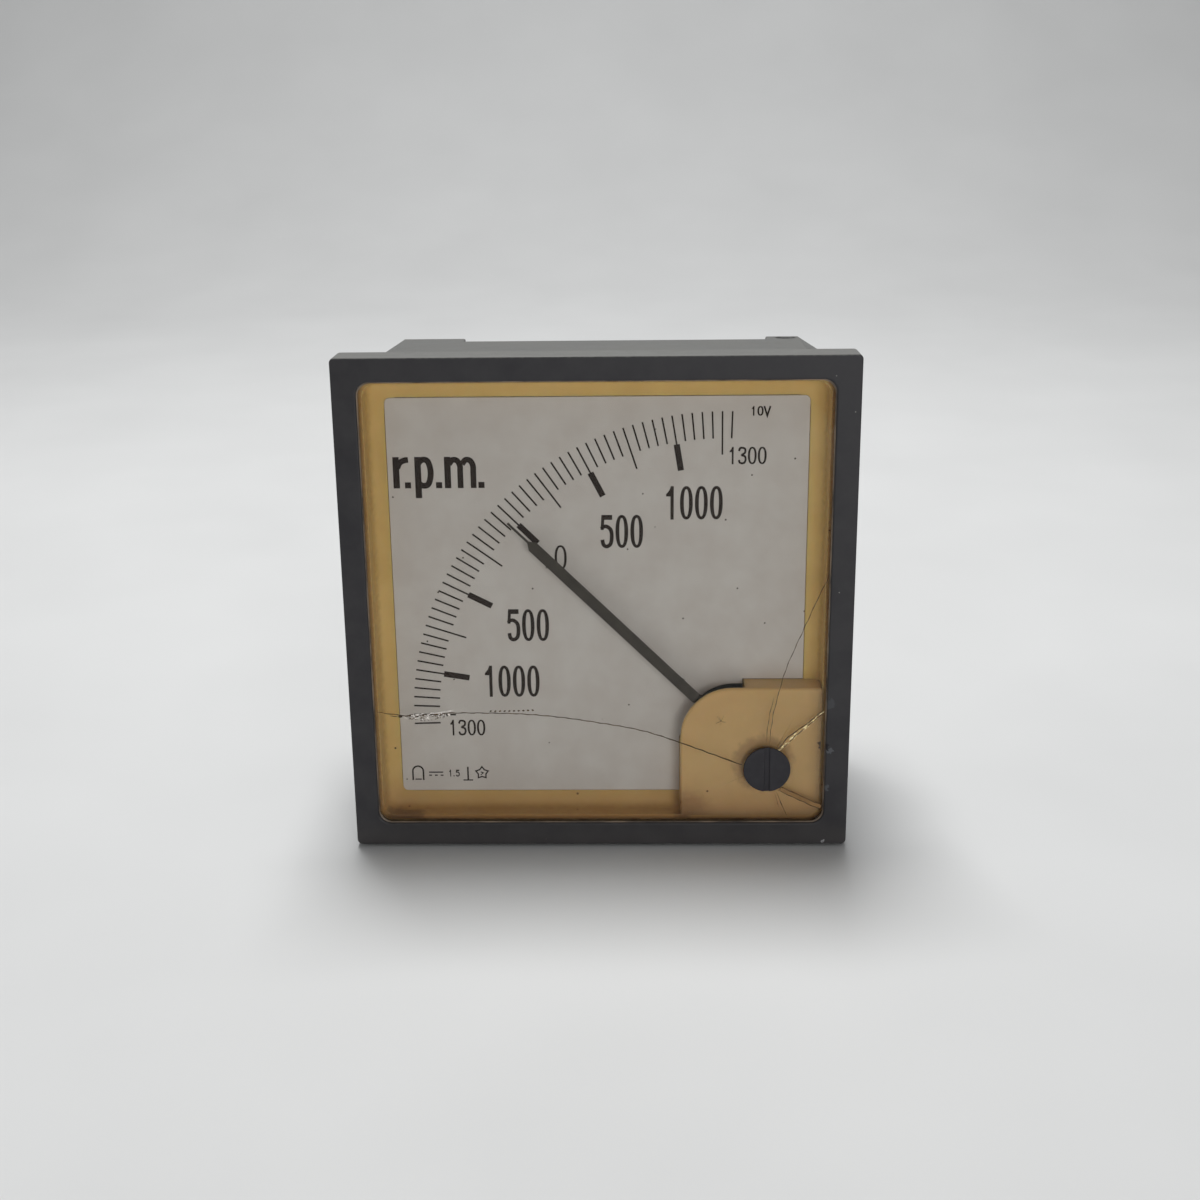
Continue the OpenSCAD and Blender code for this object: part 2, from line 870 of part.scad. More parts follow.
module bridge_screws() {
    color(steel)
        at_pivot()
            for (deg = [mid_deg - 90, mid_deg + 90])
                out(foot_r, deg) {
                    slotted_screw(screw_r, screw_head_r, screw_head_t, screw_len, foot_front, -1);
                    slotted_screw(screw_r, screw_head_r, screw_head_t, screw_len, foot_rear, 1);
                }
}

module movement_screws() {
    color(steel)
        at_pivot()
            for (deg = [mid_deg, mid_deg + 180])
                out(foot_r, deg)
                    slotted_screw(long_screw_r, long_head_r, long_head_t,
                        ring_len + boss_hole_d - thin, ring_rear, 1);
}

module stop_pins() {
    color(brass)
        at_pivot()
            for (side = [-1, 1])
                out(stop_r, mid_deg + 180 + side * stop_deg)
                    bar(stop_pin_r, stop_front, floor_rear);
}

// Flat spiral strip: the radius grows steadily with the angle from the collet to the stud
module hairspring(end_deg, from) {
    r0 = collet_r + spring_t / 2 + seat_fit;
    steps = 24 * spring_turns;
    turn = 360 * spring_turns;
    function at(i, side) = let (
        a = end_deg - turn + turn * i / steps,
        r = r0 + (spring_r - r0) * i / steps + side * spring_t / 2
    ) [r * cos(a), r * sin(a)];
    layer(from, from + spring_w)
        polygon(concat([for (i = [0 : steps]) at(i, 1)], [for (i = [steps : -1 : 0]) at(i, -1)]));
}

module front_hairspring() {
    color("#b87333") at_pivot() hairspring(stud_deg, spring_front);
}

module rear_hairspring() {
    color("#b87333") at_pivot() hairspring(mid_deg + 90, rear_spring_front);
}

// Side view of the pointer, from the hub up the ramp to the flat bar
module pointer_side() {
    ramp_from = spring_r + 0.15;
    ramp_to = cover_r - cover_wall - 0.2;
    polygon([[0, hub_front], [ramp_from, hub_front], [ramp_to, arm_front], [tip_r, arm_front],
        [tip_r, arm_front + pointer_t], [ramp_to + pointer_t / 2, arm_front + pointer_t],
        [ramp_from + pointer_t / 2, hub_front + pointer_t], [0, hub_front + pointer_t]]);
}

module pointer() {
    half = pointer_w / 2;
    color(print_color)
        at_pivot(pointer_deg)
            difference() {
                union() {
                    bar(hub_r, hub_front, hub_front + pointer_t);
                    intersection() {
                        layer(arm_front - cut, hub_front + cut)
                            polygon([[0, half], [bar_r, half], [bar_r + taper_len, tip_w / 2],
                                [tip_r, tip_w / 2], [tip_r, -tip_w / 2],
                                [bar_r + taper_len, -tip_w / 2], [bar_r, -half], [0, -half]]);
                        translate([0, -bezel_t, -pointer_w])
                            linear_extrude(2 * pointer_w) pointer_side();
                    }
                }
                bar(staff_r + seat_fit, hub_front - cut, hub_front + pointer_t + cut);
            }
}

// A rod from the hub outwards, along the local X axis turned by an angle
module balance_rod(r_in, r_out, radius, deg) {
    rotate([0, -deg, 0])
        translate([r_in, balance_mid - bezel_t, 0])
            rotate([0, 90, 0])
                cylinder(r = radius, h = r_out - r_in);
}

module balance_arms() {
    color(brass)
        at_pivot(pointer_deg)
            difference() {
                union() {
                    bar(hub_r - thin, balance_front, balance_front + balance_t);
                    balance_rod(1, stop_r + stop_pin_r + tail_past, rod_r, 180);
                    for (deg = [90, 270]) balance_rod(1, side_rod, rod_r, deg);
                }
                bar(staff_r + seat_fit, balance_front - cut, balance_front + balance_t + cut);
            }
}

module balance_weights() {
    side_at = side_rod - side_weight_len - 2 * thin;
    color(brass)
        at_pivot(pointer_deg) {
            difference() {
                balance_rod(tail_end - tail_len, tail_end, tail_r, 180);
                balance_rod(1, stop_r + cut, rod_r + seat_fit, 180);
            }
            for (deg = [90, 270])
                difference() {
                    balance_rod(side_at, side_at + side_weight_len, side_weight_r, deg);
                    balance_rod(1, side_rod + cut, rod_r + seat_fit, deg);
                }
        }
}

// Rectangular frame round the core, square to the pointer
module coil_frame(inner, thick, wide, from, to) {
    difference() {
        block(wide, inner + thick, from - thick, to + thick);
        block(wide + cut, inner, from, to);
    }
}

module coil_former() {
    color("#c9cacc")
        at_pivot(pointer_deg)
            coil_frame(core_r + core_gap, former_t, coil_w, core_front - end_gap, core_rear + end_gap);
}

module coil_winding() {
    color("#a5552a")
        at_pivot(pointer_deg)
            coil_frame(core_r + core_gap + former_t, winding_t, winding_w,
                core_front - end_gap - former_t, core_rear + end_gap + former_t);
}

module front_staff() {
    tip = jewel_rear - cup_d + pivot_gap;
    color(steel)
        at_pivot()
            turned() polygon([[0, tip], [staff_r, spring_front], [staff_r, coil_front - anchor_t],
                [anchor_r, coil_front - anchor_t], [anchor_r, coil_front], [0, coil_front]]);
}

module rear_staff() {
    tip = rear_jewel_front + cup_d - pivot_gap;
    shoulder = rear_jewel_front - 0.3;
    color(steel)
        at_pivot()
            turned() polygon([[0, tip], [staff_r, shoulder], [staff_r, coil_rear + anchor_t],
                [anchor_r, coil_rear + anchor_t], [anchor_r, coil_rear], [0, coil_rear]]);
}

module spring_collets() {
    color(brass)
        at_pivot() {
            ring(staff_r + seat_fit, collet_r, spring_front + thin, spring_front + collet_t);
            ring(staff_r + seat_fit, collet_r, rear_spring_front - thin,
                rear_spring_front + collet_t - thin);
        }
}

// The studs have their core radius where nuts hold them, and their outer radius where they are free
module terminal_studs() {
    color(brass)
        at_terminals() {
            bar(term_core_r, stud_front, free_from);
            bar(term_r, free_from, free_from + term_free);
        }
}

module inner_stud_nuts() {
    color(brass)
        at_terminals() hex_nut(nut_r, term_core_r + seat_fit, wall_front - inner_nut_t, wall_front);
}

module terminal_washers() {
    color(steel)
        at_terminals() ring(term_r + thin, washer_r, term_seat, term_seat + washer_t);
}

module terminal_nuts() {
    color(brass)
        at_terminals() hex_nut(nut_r, term_core_r + seat_fit, term_seat + washer_t, nut_end);
}

module board_spacers() {
    color("#d8d2c0")
        at_terminals() ring(term_r + thin, term_r + spacer_wall, board_rear, wall_front - inner_nut_t);
}

module board_nuts() {
    color(brass)
        at_terminals()
            hex_nut(nut_r, term_core_r + seat_fit, board_depth - board_nut_t, board_depth);
}

module resistor_board() {
    color("#7a5a2e")
        difference() {
            layer(board_depth, board_rear)
                translate([-board_w / 2, board_z - board_h / 2]) square([board_w, board_h]);
            at_terminals() bar(term_r + thin, board_depth - cut, board_rear + cut);
        }
}

// Wire-ended resistors lying on the front of the board
module series_resistors() {
    for (row = [0 : 1])
        translate([resistor_x, board_depth - resistor_r - bezel_t,
            board_z + resistor_up + row * resistor_pitch])
            color("#8f6f4a") {
                rotate([0, 90, 0]) cylinder(r = resistor_r, h = resistor_len, center = true);
                rotate([0, 90, 0])
                    cylinder(r = resistor_wire_r, h = 2 * resistor_reach, center = true);
                for (side = [-1, 1])
                    translate([side * resistor_reach, resistor_r, 0])
                        rotate([90, 0, 0])
                            cylinder(r = resistor_wire_r, h = resistor_r + resistor_wire_r);
            }
}

module calibration_trimmer() {
    half = trimmer_side / 2;
    color("#2f5fa8")
        translate([trimmer_x, board_depth - bezel_t, board_z + trimmer_up])
            difference() {
                union() {
                    translate([-half, -trimmer_high, -half])
                        cube([trimmer_side, trimmer_high, trimmer_side]);
                    rotate([90, 0, 0])
                        cylinder(r = trimmer_screw_r, h = trimmer_high + trimmer_screw_h);
                }
                translate([-trimmer_screw_r - cut, -trimmer_high - cut, -trimmer_slot_w / 2])
                    cube([2 * (trimmer_screw_r + cut), cut, trimmer_slot_w]);
            }
}

// Wires from the board to the rear bridge: a cubic curve that leaves both ends square
module internal_leads() {
    ends = [[outer_lead_x, board_z - outer_lead_down], [inner_lead_x, board_z - inner_lead_down]];
    heads = [mid_deg - 90, mid_deg + 90];
    for (i = [0 : 1]) {
        head = pivot + foot_r * [cos(heads[i]), sin(heads[i])];
        color(i == 0 ? "#b02a24" : "#202020")
            wire([ends[i][0], board_depth - bezel_t, ends[i][1]],
                [head[0], foot_rear + screw_head_t - bezel_t, head[1]], lead_r);
    }
}

// Round wire along the curve from a to b, which leaves a forwards and meets b from behind
module wire(a, b, r) {
    rings = 12;
    sides = 8;
    pull = 0.6 * (a[1] - b[1]);
    function at(t) = pow(1 - t, 3) * a + 3 * t * pow(1 - t, 2) * (a - [0, pull, 0])
        + 3 * t * t * (1 - t) * (b + [0, pull, 0]) + pow(t, 3) * b;
    function slope(t) = let (
        d = at(min(t + 0.01, 1)) - at(max(t - 0.01, 0))
    ) t == 0 || t == 1 ? [0, -1, 0] : d / norm(d);
    function across(t) = let (c = cross(slope(t), [0, 0, 1])) c / norm(c);
    points = [for (i = [0 : rings], k = [0 : sides - 1]) let (
        t = i / rings,
        u = across(t),
        v = cross(slope(t), u),
        angle = 360 * k / sides
    ) at(t) + r * (cos(angle) * u + sin(angle) * v)];
    tube = [for (i = [0 : rings - 1], k = [0 : sides - 1]) let (
        n = (k + 1) % sides
    ) [i * sides + k, i * sides + n, (i + 1) * sides + n, (i + 1) * sides + k]];
    first = [[for (k = [sides - 1 : -1 : 0]) k]];
    last = [[for (k = [0 : sides - 1]) rings * sides + k]];
    polyhedron(points, concat(tube, first, last));
}

bezel();
window();
window_seal();
housing();
inner_tray();
scale_plate();
scale_marks();
corner_cover();
zero_adjuster();
adjuster_clip();
zero_lever();
yoke_ring();
core_magnet();
core_spacers();
front_bridge();
rear_bridge();
front_jewel_screw();
rear_jewel_screw();
jewel_lock_nuts();
bridge_screws();
movement_screws();
stop_pins();
front_hairspring();
rear_hairspring();
pointer();
balance_arms();
balance_weights();
coil_former();
coil_winding();
front_staff();
rear_staff();
spring_collets();
terminal_studs();
inner_stud_nuts();
terminal_washers();
terminal_nuts();
resistor_board();
board_spacers();
board_nuts();
series_resistors();
calibration_trimmer();
internal_leads();
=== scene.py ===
from math import cos, pi, radians, sin

import bmesh
import bpy
import numpy as np
from mathutils import Matrix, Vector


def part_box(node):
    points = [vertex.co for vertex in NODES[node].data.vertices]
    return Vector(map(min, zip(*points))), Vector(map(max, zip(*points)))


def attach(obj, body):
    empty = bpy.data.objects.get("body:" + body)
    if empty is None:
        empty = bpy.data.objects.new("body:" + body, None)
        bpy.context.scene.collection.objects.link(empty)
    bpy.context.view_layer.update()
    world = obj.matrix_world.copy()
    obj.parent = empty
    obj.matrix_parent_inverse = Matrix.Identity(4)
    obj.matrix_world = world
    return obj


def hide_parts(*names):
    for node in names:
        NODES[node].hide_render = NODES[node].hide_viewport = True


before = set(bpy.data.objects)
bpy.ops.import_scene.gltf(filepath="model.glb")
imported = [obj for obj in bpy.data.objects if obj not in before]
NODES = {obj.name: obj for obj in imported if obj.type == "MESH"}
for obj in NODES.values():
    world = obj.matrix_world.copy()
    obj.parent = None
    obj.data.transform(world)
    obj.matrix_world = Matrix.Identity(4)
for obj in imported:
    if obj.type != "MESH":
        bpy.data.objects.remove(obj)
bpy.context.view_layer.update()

bl_info = {
    "name": "Panel tachometer",
    "version": (1, 0, 0),
    "blender": (4, 5, 0),
    "location": "3D View > Sidebar > Tachometer",
    "description": "Dresses the solid model of a square panel tachometer",
    "category": "Object",
}

MM = 0.001


def extent(node):
    """Lowest and highest corners of a node of the solid model, in millimetres."""
    lo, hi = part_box(node)
    return np.array(lo) / MM, np.array(hi) / MM


# Places read from the solid model, in millimetres: x to the right, y backwards, z up
BEZEL_LO, BEZEL_HI = extent("bezel")
PANE_LO, PANE_HI = extent("window")
CASE_LO, CASE_HI = extent("housing")
TRAY_LO, TRAY_HI = extent("inner_tray")
DIAL_LO, DIAL_HI = extent("scale_plate")
COVER_LO, COVER_HI = extent("corner_cover")
DISC_LO, DISC_HI = extent("zero_adjuster")
SCREW_LO, SCREW_HI = extent("front_jewel_screw")

FRONT = BEZEL_LO[1]
# Axes of the movement and of the zero adjuster, as (x, z)
PIVOT = (SCREW_LO + SCREW_HI)[[0, 2]] / 2
ADJUSTER = (DISC_LO + DISC_HI)[[0, 2]] / 2

# Sizes in millimetres that more than one piece uses
OPENING_CORNER = 2.5  # radius of the corners of the bezel's opening
FIT = 0.1  # gap round the pane and the case in the bezel, and chamfer of the pane
SEAM = 0.08  # gap from the dial to the tray and the cover, and from the cover to the tray
COVER_DROP = 0.5  # how much lower the cover's top is than in the solid model

# Steps of the surfaces
SEGMENTS = 12  # in a quarter circle
DIVISIONS = 20  # along a straight side
EASE = 5  # in a rounded corner of a profile
SHARP = radians(35)  # edges sharper than this are rounded or shaded sharp


def linear(code):
    """Linear colour from sRGB "#rrggbb".

    A channel c below 0.04045 becomes c / 12.92, and any other ((c + 0.055) / 1.055) to the 2.4."""
    c = np.array([int(code[i:i + 2], 16) for i in (1, 3, 5)]) / 255
    return [*np.where(c <= 0.04045, c / 12.92, ((c + 0.055) / 1.055) ** 2.4), 1.0]


# Surfaces

def grid(points, around=True, along=False, keep=None):
    """Points and faces of a grid.

    The face of row i and column j joins it to the next row and column; around closes each row
    into a loop, along joins the last row to the first, and keep says which faces stay."""
    rows, cols = points.shape[:2]
    i = np.arange(rows if along else rows - 1)[:, None]
    j = np.arange(cols if around else cols - 1)[None, :]
    i2, j2 = (i + 1) % rows, (j + 1) % cols
    faces = np.stack([i * cols + j, i * cols + j2, i2 * cols + j2, i2 * cols + j], -1)
    return points.reshape(-1, 3), faces[keep] if keep is not None else faces.reshape(-1, 4)


def outward(points, faces):
    """Turns every face round where the volume comes out negative.

    The volume is a sixth of the sum of a . (b x c) over the triangles."""
    a, b, c, d = (points[faces[:, k]] for k in range(4))
    volume = np.sum(a * np.cross(b, c)) + np.sum(a * np.cross(c, d))
    return points, faces if volume > 0 else faces[:, ::-1]


def solid(loops, along=False):
    """Closed surface over a stack of loops.

    Each loop is joined to the next; the last is joined to the first where along is true, and
    otherwise both ends close on the middle of their loop."""
    if not along:
        first, last = (np.repeat(loops[[k]].mean(1, keepdims=True), loops.shape[1], 1)
                       for k in (0, -1))
        loops = np.concatenate([first, loops, last])
    return outward(*grid(loops, along=along))


def round_box(x0, x1, z0, z1, radii, divisions=DIVISIONS):
    """Closed outlines of rectangles with round corners, one for each row of the arguments.

    A corner point is (corner - sign * r) + r * (cos a, sin a), with a running through the
    corner's quarter turn; the points of a side are spaced evenly between two corners."""
    radii = np.atleast_2d(np.asarray(radii, float))
    x0, x1, z0, z1 = (np.asarray(v, float).reshape(-1, 1) * np.ones((len(radii), 1))
                      for v in (x0, x1, z0, z1))
    r = radii * np.ones((len(x0), 4))
    cx = np.hstack([x1, x0, x0, x1]) + r * [-1, 1, 1, -1]
    cz = np.hstack([z1, z1, z0, z0]) + r * [-1, -1, 1, 1]
    a = pi / 2 * (np.arange(4)[:, None] + np.linspace(0, 1, SEGMENTS + 1))
    corner = np.stack([cx[..., None] + r[..., None] * np.cos(a),
                       cz[..., None] + r[..., None] * np.sin(a)], -1)
    t = np.linspace(0, 1, divisions + 1)[1:-1, None]
    side = corner[:, :, -1:] * (1 - t) + np.roll(corner[:, :, :1], -1, axis=1) * t
    return np.concatenate([corner, side], 2).reshape(len(x0), -1, 2)


def spread(x, y, z):
    """Points from arrays of their coordinates, each repeated over the rows or columns it lacks."""
    return np.stack(np.broadcast_arrays(x, y, z), -1)


def at_depth(outlines, depths):
    """Loops in space: each outline (x, z) gets the depth y of its row, one for each row."""
    depths = np.asarray(depths, float).reshape(-1, 1)
    return spread(outlines[..., 0], depths, outlines[..., 1])


def eased(corners, cuts):
    """Closed profile with rounded corners, from rows that end in a half width and a depth.

    At corner B the curve (1-t)^2 P + 2t(1-t) B + t^2 Q runs from P to Q, which lie at the
    corner's cut from B towards the corners before and after it."""
    b = np.asarray(corners, float)
    cut = np.asarray(cuts, float)[:, None]
    p, q = (b + cut * d / np.linalg.norm(d[:, [0, -1]], axis=1, keepdims=True)
            for d in (np.roll(b, 1, 0) - b, np.roll(b, -1, 0) - b))
    t = np.linspace(0, 1, EASE + 1)[:, None, None]
    curve = (1 - t) ** 2 * p + 2 * t * (1 - t) * b + t ** 2 * q
    return np.swapaxes(curve, 0, 1).reshape(-1, b.shape[1])


def square_loops(profile):
    """Square loops about the y axis, one for each row (half width, corner radius, depth)."""
    half, radius, depth = np.asarray(profile, float).T
    return at_depth(round_box(-half, half, -half, half, np.repeat(radius[:, None], 4, 1)), depth)


def circle_towards(loop, centre, radius, depth):
    """Circle with a point in the direction of each point of a loop, as seen from its centre."""
    away = loop[:, [0, 2]] - centre
    ring = centre + radius * away / np.linalg.norm(away, axis=1, keepdims=True)
    return at_depth(ring[None], depth)[0]


def band(left, right, front, rear, closed=False):
    """Flat strip between a left and a right edge (x, z), from a front to a rear depth.

    The rectangle (left front, right front, right rear, left rear) is carried along the edges."""
    edges = np.stack([left, right, right, left], 1)
    return solid(spread(edges[..., 0], [front, front, rear, rear], edges[..., 1]), along=closed)


def edges_of(path, width, closed=False):
    """Left and right edges of a stroke: the path set off by half the width to each side.

    The offset is along m = (a + b) / (1 + a . b), where a and b are the unit normals of the
    stretches before and after a point, which keeps corners sharp."""
    path = np.asarray(path, float)
    step = np.roll(path, -1, 0) - path
    if not closed:
        step[-1] = step[-2]
    after = np.stack([-step[:, 1], step[:, 0]], 1) / np.linalg.norm(step, axis=1, keepdims=True)
    before = np.roll(after, 1, 0)
    if not closed:
        before[0] = after[0]
    m = (before + after) / (1 + np.sum(before * after, 1, keepdims=True))
    half = np.asarray(width, float).reshape(-1, 1) / 2
    return path + m * half, path - m * half, closed


def curve_through(points, steps=6):
    """Smooth path through points.

    Between b and c, with a before and d after, the point at t is half of
    2b + (c - a)t + (2a - 5b + 4c - d)t^2 + (3b - a - 3c + d)t^3."""
    p = np.asarray(points, float)
    p = np.vstack([2 * p[0] - p[1], p, 2 * p[-1] - p[-2]])
    a, b, c, d = p[:-3, None], p[1:-2, None], p[2:-1, None], p[3:, None]
    t = np.linspace(0, 1, steps, endpoint=False)[None, :, None]
    q = (2 * b + (c - a) * t + (2 * a - 5 * b + 4 * c - d) * t ** 2
         + (3 * b - a - 3 * c + d) * t ** 3) / 2
    return np.vstack([q.reshape(-1, p.shape[1]), p[-2]])


def arc(centre, radius, start, end, steps=SEGMENTS):
    """Points centre + radius * (cos a, sin a) with a from start to end, in degrees."""
    a = np.radians(np.linspace(start, end, steps + 1))
    return np.asarray(centre) + np.stack([radius * np.cos(a), radius * np.sin(a)], 1)


def turned(profile, centre, columns=32):
    """Ring about an axis along y: each row (radius, depth) is carried round a circle."""
    radius, depth = np.asarray(profile, float).T[:, :, None]
    a = np.linspace(0, 2 * pi, columns, endpoint=False)
    return solid(spread(centre[0] + radius * np.cos(a), depth, centre[1] + radius * np.sin(a)),
                 along=True)


# Pieces

def coat(obj, material):
    """Makes a material the only one on an object."""
    obj.data.materials.clear()
    obj.data.materials.append(material)


def finished(obj, material, body, replaced=()):
    """Gives an object its material, hangs it on the empty of the body that carries it, and hides
    the solids that it stands in for.
    """
    coat(obj, material)
    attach(obj, body)
    if replaced:
        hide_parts(*replaced)
    return obj


def shaded(name, mesh, angle):
    """New object of a mesh, with each edge flatter than the angle shaded smooth."""
    mesh.polygons.foreach_set("use_smooth", np.ones(len(mesh.polygons), bool))
    mesh.set_sharp_from_angle(angle=angle)
    obj = bpy.data.objects.new(name, mesh)
    bpy.context.scene.collection.objects.link(obj)
    return obj


def piece(name, patches, smooth_angle=30):
    """One mesh object from patches of points and faces in millimetres.

    The patches are put one after the other, doubles are merged, and each edge flatter than the
    angle, in degrees, is shaded smooth."""
    starts = np.cumsum([0] + [len(points) for points, _ in patches])
    points = np.vstack([p for p, _ in patches]) * MM
    faces = np.vstack([f + start for (_, f), start in zip(patches, starts)])
    mesh = bpy.data.meshes.new(name)
    mesh.from_pydata(points, [], faces)
    merge(mesh)
    return shaded(name, mesh, radians(smooth_angle))


def merge(mesh, flat=None):
    """Merges points that coincide and, where an angle is given, joins faces flatter than it."""
    bm = bmesh.new()
    bm.from_mesh(mesh)
    bmesh.ops.remove_doubles(bm, verts=bm.verts, dist=0.0005 * MM)
    if flat is not None:
        bmesh.ops.dissolve_limit(bm, angle_limit=flat, verts=bm.verts, edges=bm.edges)
    bm.to_mesh(mesh)
    bm.free()


def weighted(obj):
    """Lets large faces set the shading, so that they stay flat beside rounded edges."""
    obj.modifiers.new("Weighted normals", "WEIGHTED_NORMAL").keep_sharp = True
    return obj


def softened(node, name, width):
    """A copy of a solid's mesh with its edges rounded: doubles merged, faces within half a degree
    joined, and each sharp edge turned into a fillet of a width in millimetres."""
    mesh = NODES[node].data.copy()
    merge(mesh, flat=radians(0.5))
    obj = shaded(name, mesh, SHARP)
    bevel = obj.modifiers.new("Edges", "BEVEL")
    bevel.width = width * MM
    bevel.segments = 2
    bevel.limit_method = "ANGLE"
    bevel.angle_limit = SHARP
    bevel.use_clamp_overlap = False
    return weighted(obj)


# Finishes

def plug(tree, node, sockets):
    """Gives each socket of a node its value or its link."""
    for key, value in sockets.items():
        if isinstance(value, bpy.types.NodeSocket):
            tree.links.new(value, node.inputs[key])
        else:
            node.inputs[key].default_value = value


def add(tree, kind, sockets=None, **settings):
    """Adds a node: settings go on the node itself, and the rest into its sockets."""
    node = tree.nodes.new(kind)
    for key, value in settings.items():
        setattr(node, key, value)
    plug(tree, node, sockets or {})
    return node


def per(size):
    """Texture scale, in cells a metre, at which one cell is a size in millimetres."""
    return 1 / (size * MM)


def tinted(tone):
    """Linear colour of a tone, which is sRGB "#rrggbb" or the value of a setting."""
    return linear(tone) if isinstance(tone, str) else tuple(tone)


def new_material(name):
    """Empty material with a Principled shader: the tree, the shader and the object coordinates."""
    material = bpy.data.materials.new(name)
    material.use_nodes = True
    tree = material.node_tree
    tree.nodes.clear()
    shader = add(tree, "ShaderNodeBsdfPrincipled")
    add(tree, "ShaderNodeOutputMaterial", {"Surface": shader.outputs[0]})
    place = add(tree, "ShaderNodeTexCoord").outputs["Object"]
    return material, tree, shader, place


def measured(tree, place, measure):
    """A distance in metres, worked from object coordinates.

    "x" and "z" are the coordinates themselves; "side" is the larger of |x| and |z|, rounded off
    where they cross; three numbers are a point in millimetres, to which the distance is taken."""
    if not isinstance(measure, str):
        point = tuple(c * MM for c in measure)
        return add(tree, "ShaderNodeVectorMath", {0: place, 1: point},
                   operation="DISTANCE").outputs["Value"]
    axes = add(tree, "ShaderNodeSeparateXYZ", {0: place})
    if measure != "side":
        return axes.outputs["xyz".index(measure)]
    aside, above = (add(tree, "ShaderNodeMath", {0: axes.outputs[k]}, operation="ABSOLUTE")
                    for k in (0, 2))
    return add(tree, "ShaderNodeMath", {0: aside.outputs[0], 1: above.outputs[0], 2: 2 * MM},
               operation="SMOOTH_MAX").outputs[0]


def mottled(name, tone, other, *, patch, grain, rough, rough_span=0.1, bump=0.01, metallic=0.0,
            specular=0.5, stretch=(1, 1, 1), depth=0.0, glow=None, specks=None, layers=()):
    """Two tones in patches, with a finer grain in the relief, sparse specks and layers.

    In millimetres are patch and grain, the sizes of both, bump, the height of the grain, and
    depth, how far light goes under the surface. The roughness lies about rough, within
    rough_span. stretch multiplies the coordinates, and glow is a tone and its strength.
    specks are (share, tone, size, radius): that share of the cells of a size in millimetres hold
    a speck, whose radius is a part of the cell.
    A layer (measure, start, end, share, tone) lies over them: it grows from none to its share
    while the measure goes from start to end, in millimetres, shifted by a fine noise that is
    wider about a point than along a side, and no wider than a thin band."""
    material, tree, shader, place = new_material(name)
    centred = place
    place = add(tree, "ShaderNodeMapping", {"Vector": place, "Scale": stretch}).outputs[0]
    patches = add(tree, "ShaderNodeTexNoise",
                  {"Vector": place, "Scale": per(patch), "Detail": 4.0, "Roughness": 0.6})
    blend = add(tree, "ShaderNodeMapRange",
                {"Value": patches.outputs[0], "From Min": 0.35, "From Max": 0.65})
    colour = add(tree, "ShaderNodeMix", {0: blend.outputs[0], 6: tinted(tone), 7: tinted(other)},
                 data_type="RGBA").outputs[2]
    if specks:
        share, tint, size, radius = specks
        cells = add(tree, "ShaderNodeTexVoronoi", {"Vector": place, "Scale": per(size)})
        near = add(tree, "ShaderNodeMath", {0: cells.outputs["Distance"], 1: radius},
                   operation="LESS_THAN")
        some = add(tree, "ShaderNodeSeparateColor", {0: cells.outputs["Color"]})
        pick = add(tree, "ShaderNodeMath", {0: some.outputs[0], 1: share}, operation="LESS_THAN")
        spot = add(tree, "ShaderNodeMath", {0: near.outputs[0], 1: pick.outputs[0]},
                   operation="MULTIPLY")
        colour = add(tree, "ShaderNodeMix", {0: spot.outputs[0], 6: colour, 7: linear(tint)},
                     data_type="RGBA").outputs[2]
    if layers:
        # Unevenness of the layers' edges, about a millimetre long
        noise = add(tree, "ShaderNodeTexNoise", {"Vector": centred, "Scale": per(0.9),
                                                 "Detail": 4.0})
        ragged = add(tree, "ShaderNodeMath", {0: noise.outputs[0], 1: 0.5}, operation="SUBTRACT")
    for measure, start, end, share, tint in layers:
        swing = min(1.0, abs(end - start)) if isinstance(measure, str) else 3.0
        reach = add(tree, "ShaderNodeMath", {0: ragged.outputs[0], 1: swing * MM,
                                             2: measured(tree, centred, measure)},
                    operation="MULTIPLY_ADD")
        mask = add(tree, "ShaderNodeMapRange",
                   {"Value": reach.outputs[0], "From Min": start * MM, "From Max": end * MM,
                    "To Max": share}, interpolation_type="SMOOTHSTEP")
        colour = add(tree, "ShaderNodeMix", {0: mask.outputs[0], 6: colour, 7: linear(tint)},
                     data_type="RGBA").outputs[2]
    fine = add(tree, "ShaderNodeTexNoise", {"Vector": place, "Scale": per(grain), "Detail": 3.0})
    gloss = add(tree, "ShaderNodeMapRange", {"Value": patches.outputs[0], "From Min": 0.3,
                                             "From Max": 0.7, "To Min": rough - rough_span / 2,
                                             "To Max": rough + rough_span / 2})
    relief = add(tree, "ShaderNodeBump",
                 {"Height": fine.outputs[0], "Distance": bump * MM, "Strength": 1.0})
    plug(tree, shader, {"Base Color": colour, "Roughness": gloss.outputs[0],
                        "Normal": relief.outputs[0], "Metallic": metallic,
                        "Specular IOR Level": specular})
    if glow:
        plug(tree, shader, {"Emission Color": linear(glow[0]), "Emission Strength": glow[1]})
    if depth:
        plug(tree, shader, {"Subsurface Weight": 0.7, "Subsurface Scale": depth * MM,
                            "Subsurface Radius": (1.0, 0.7, 0.35)})
    return material


# Settings

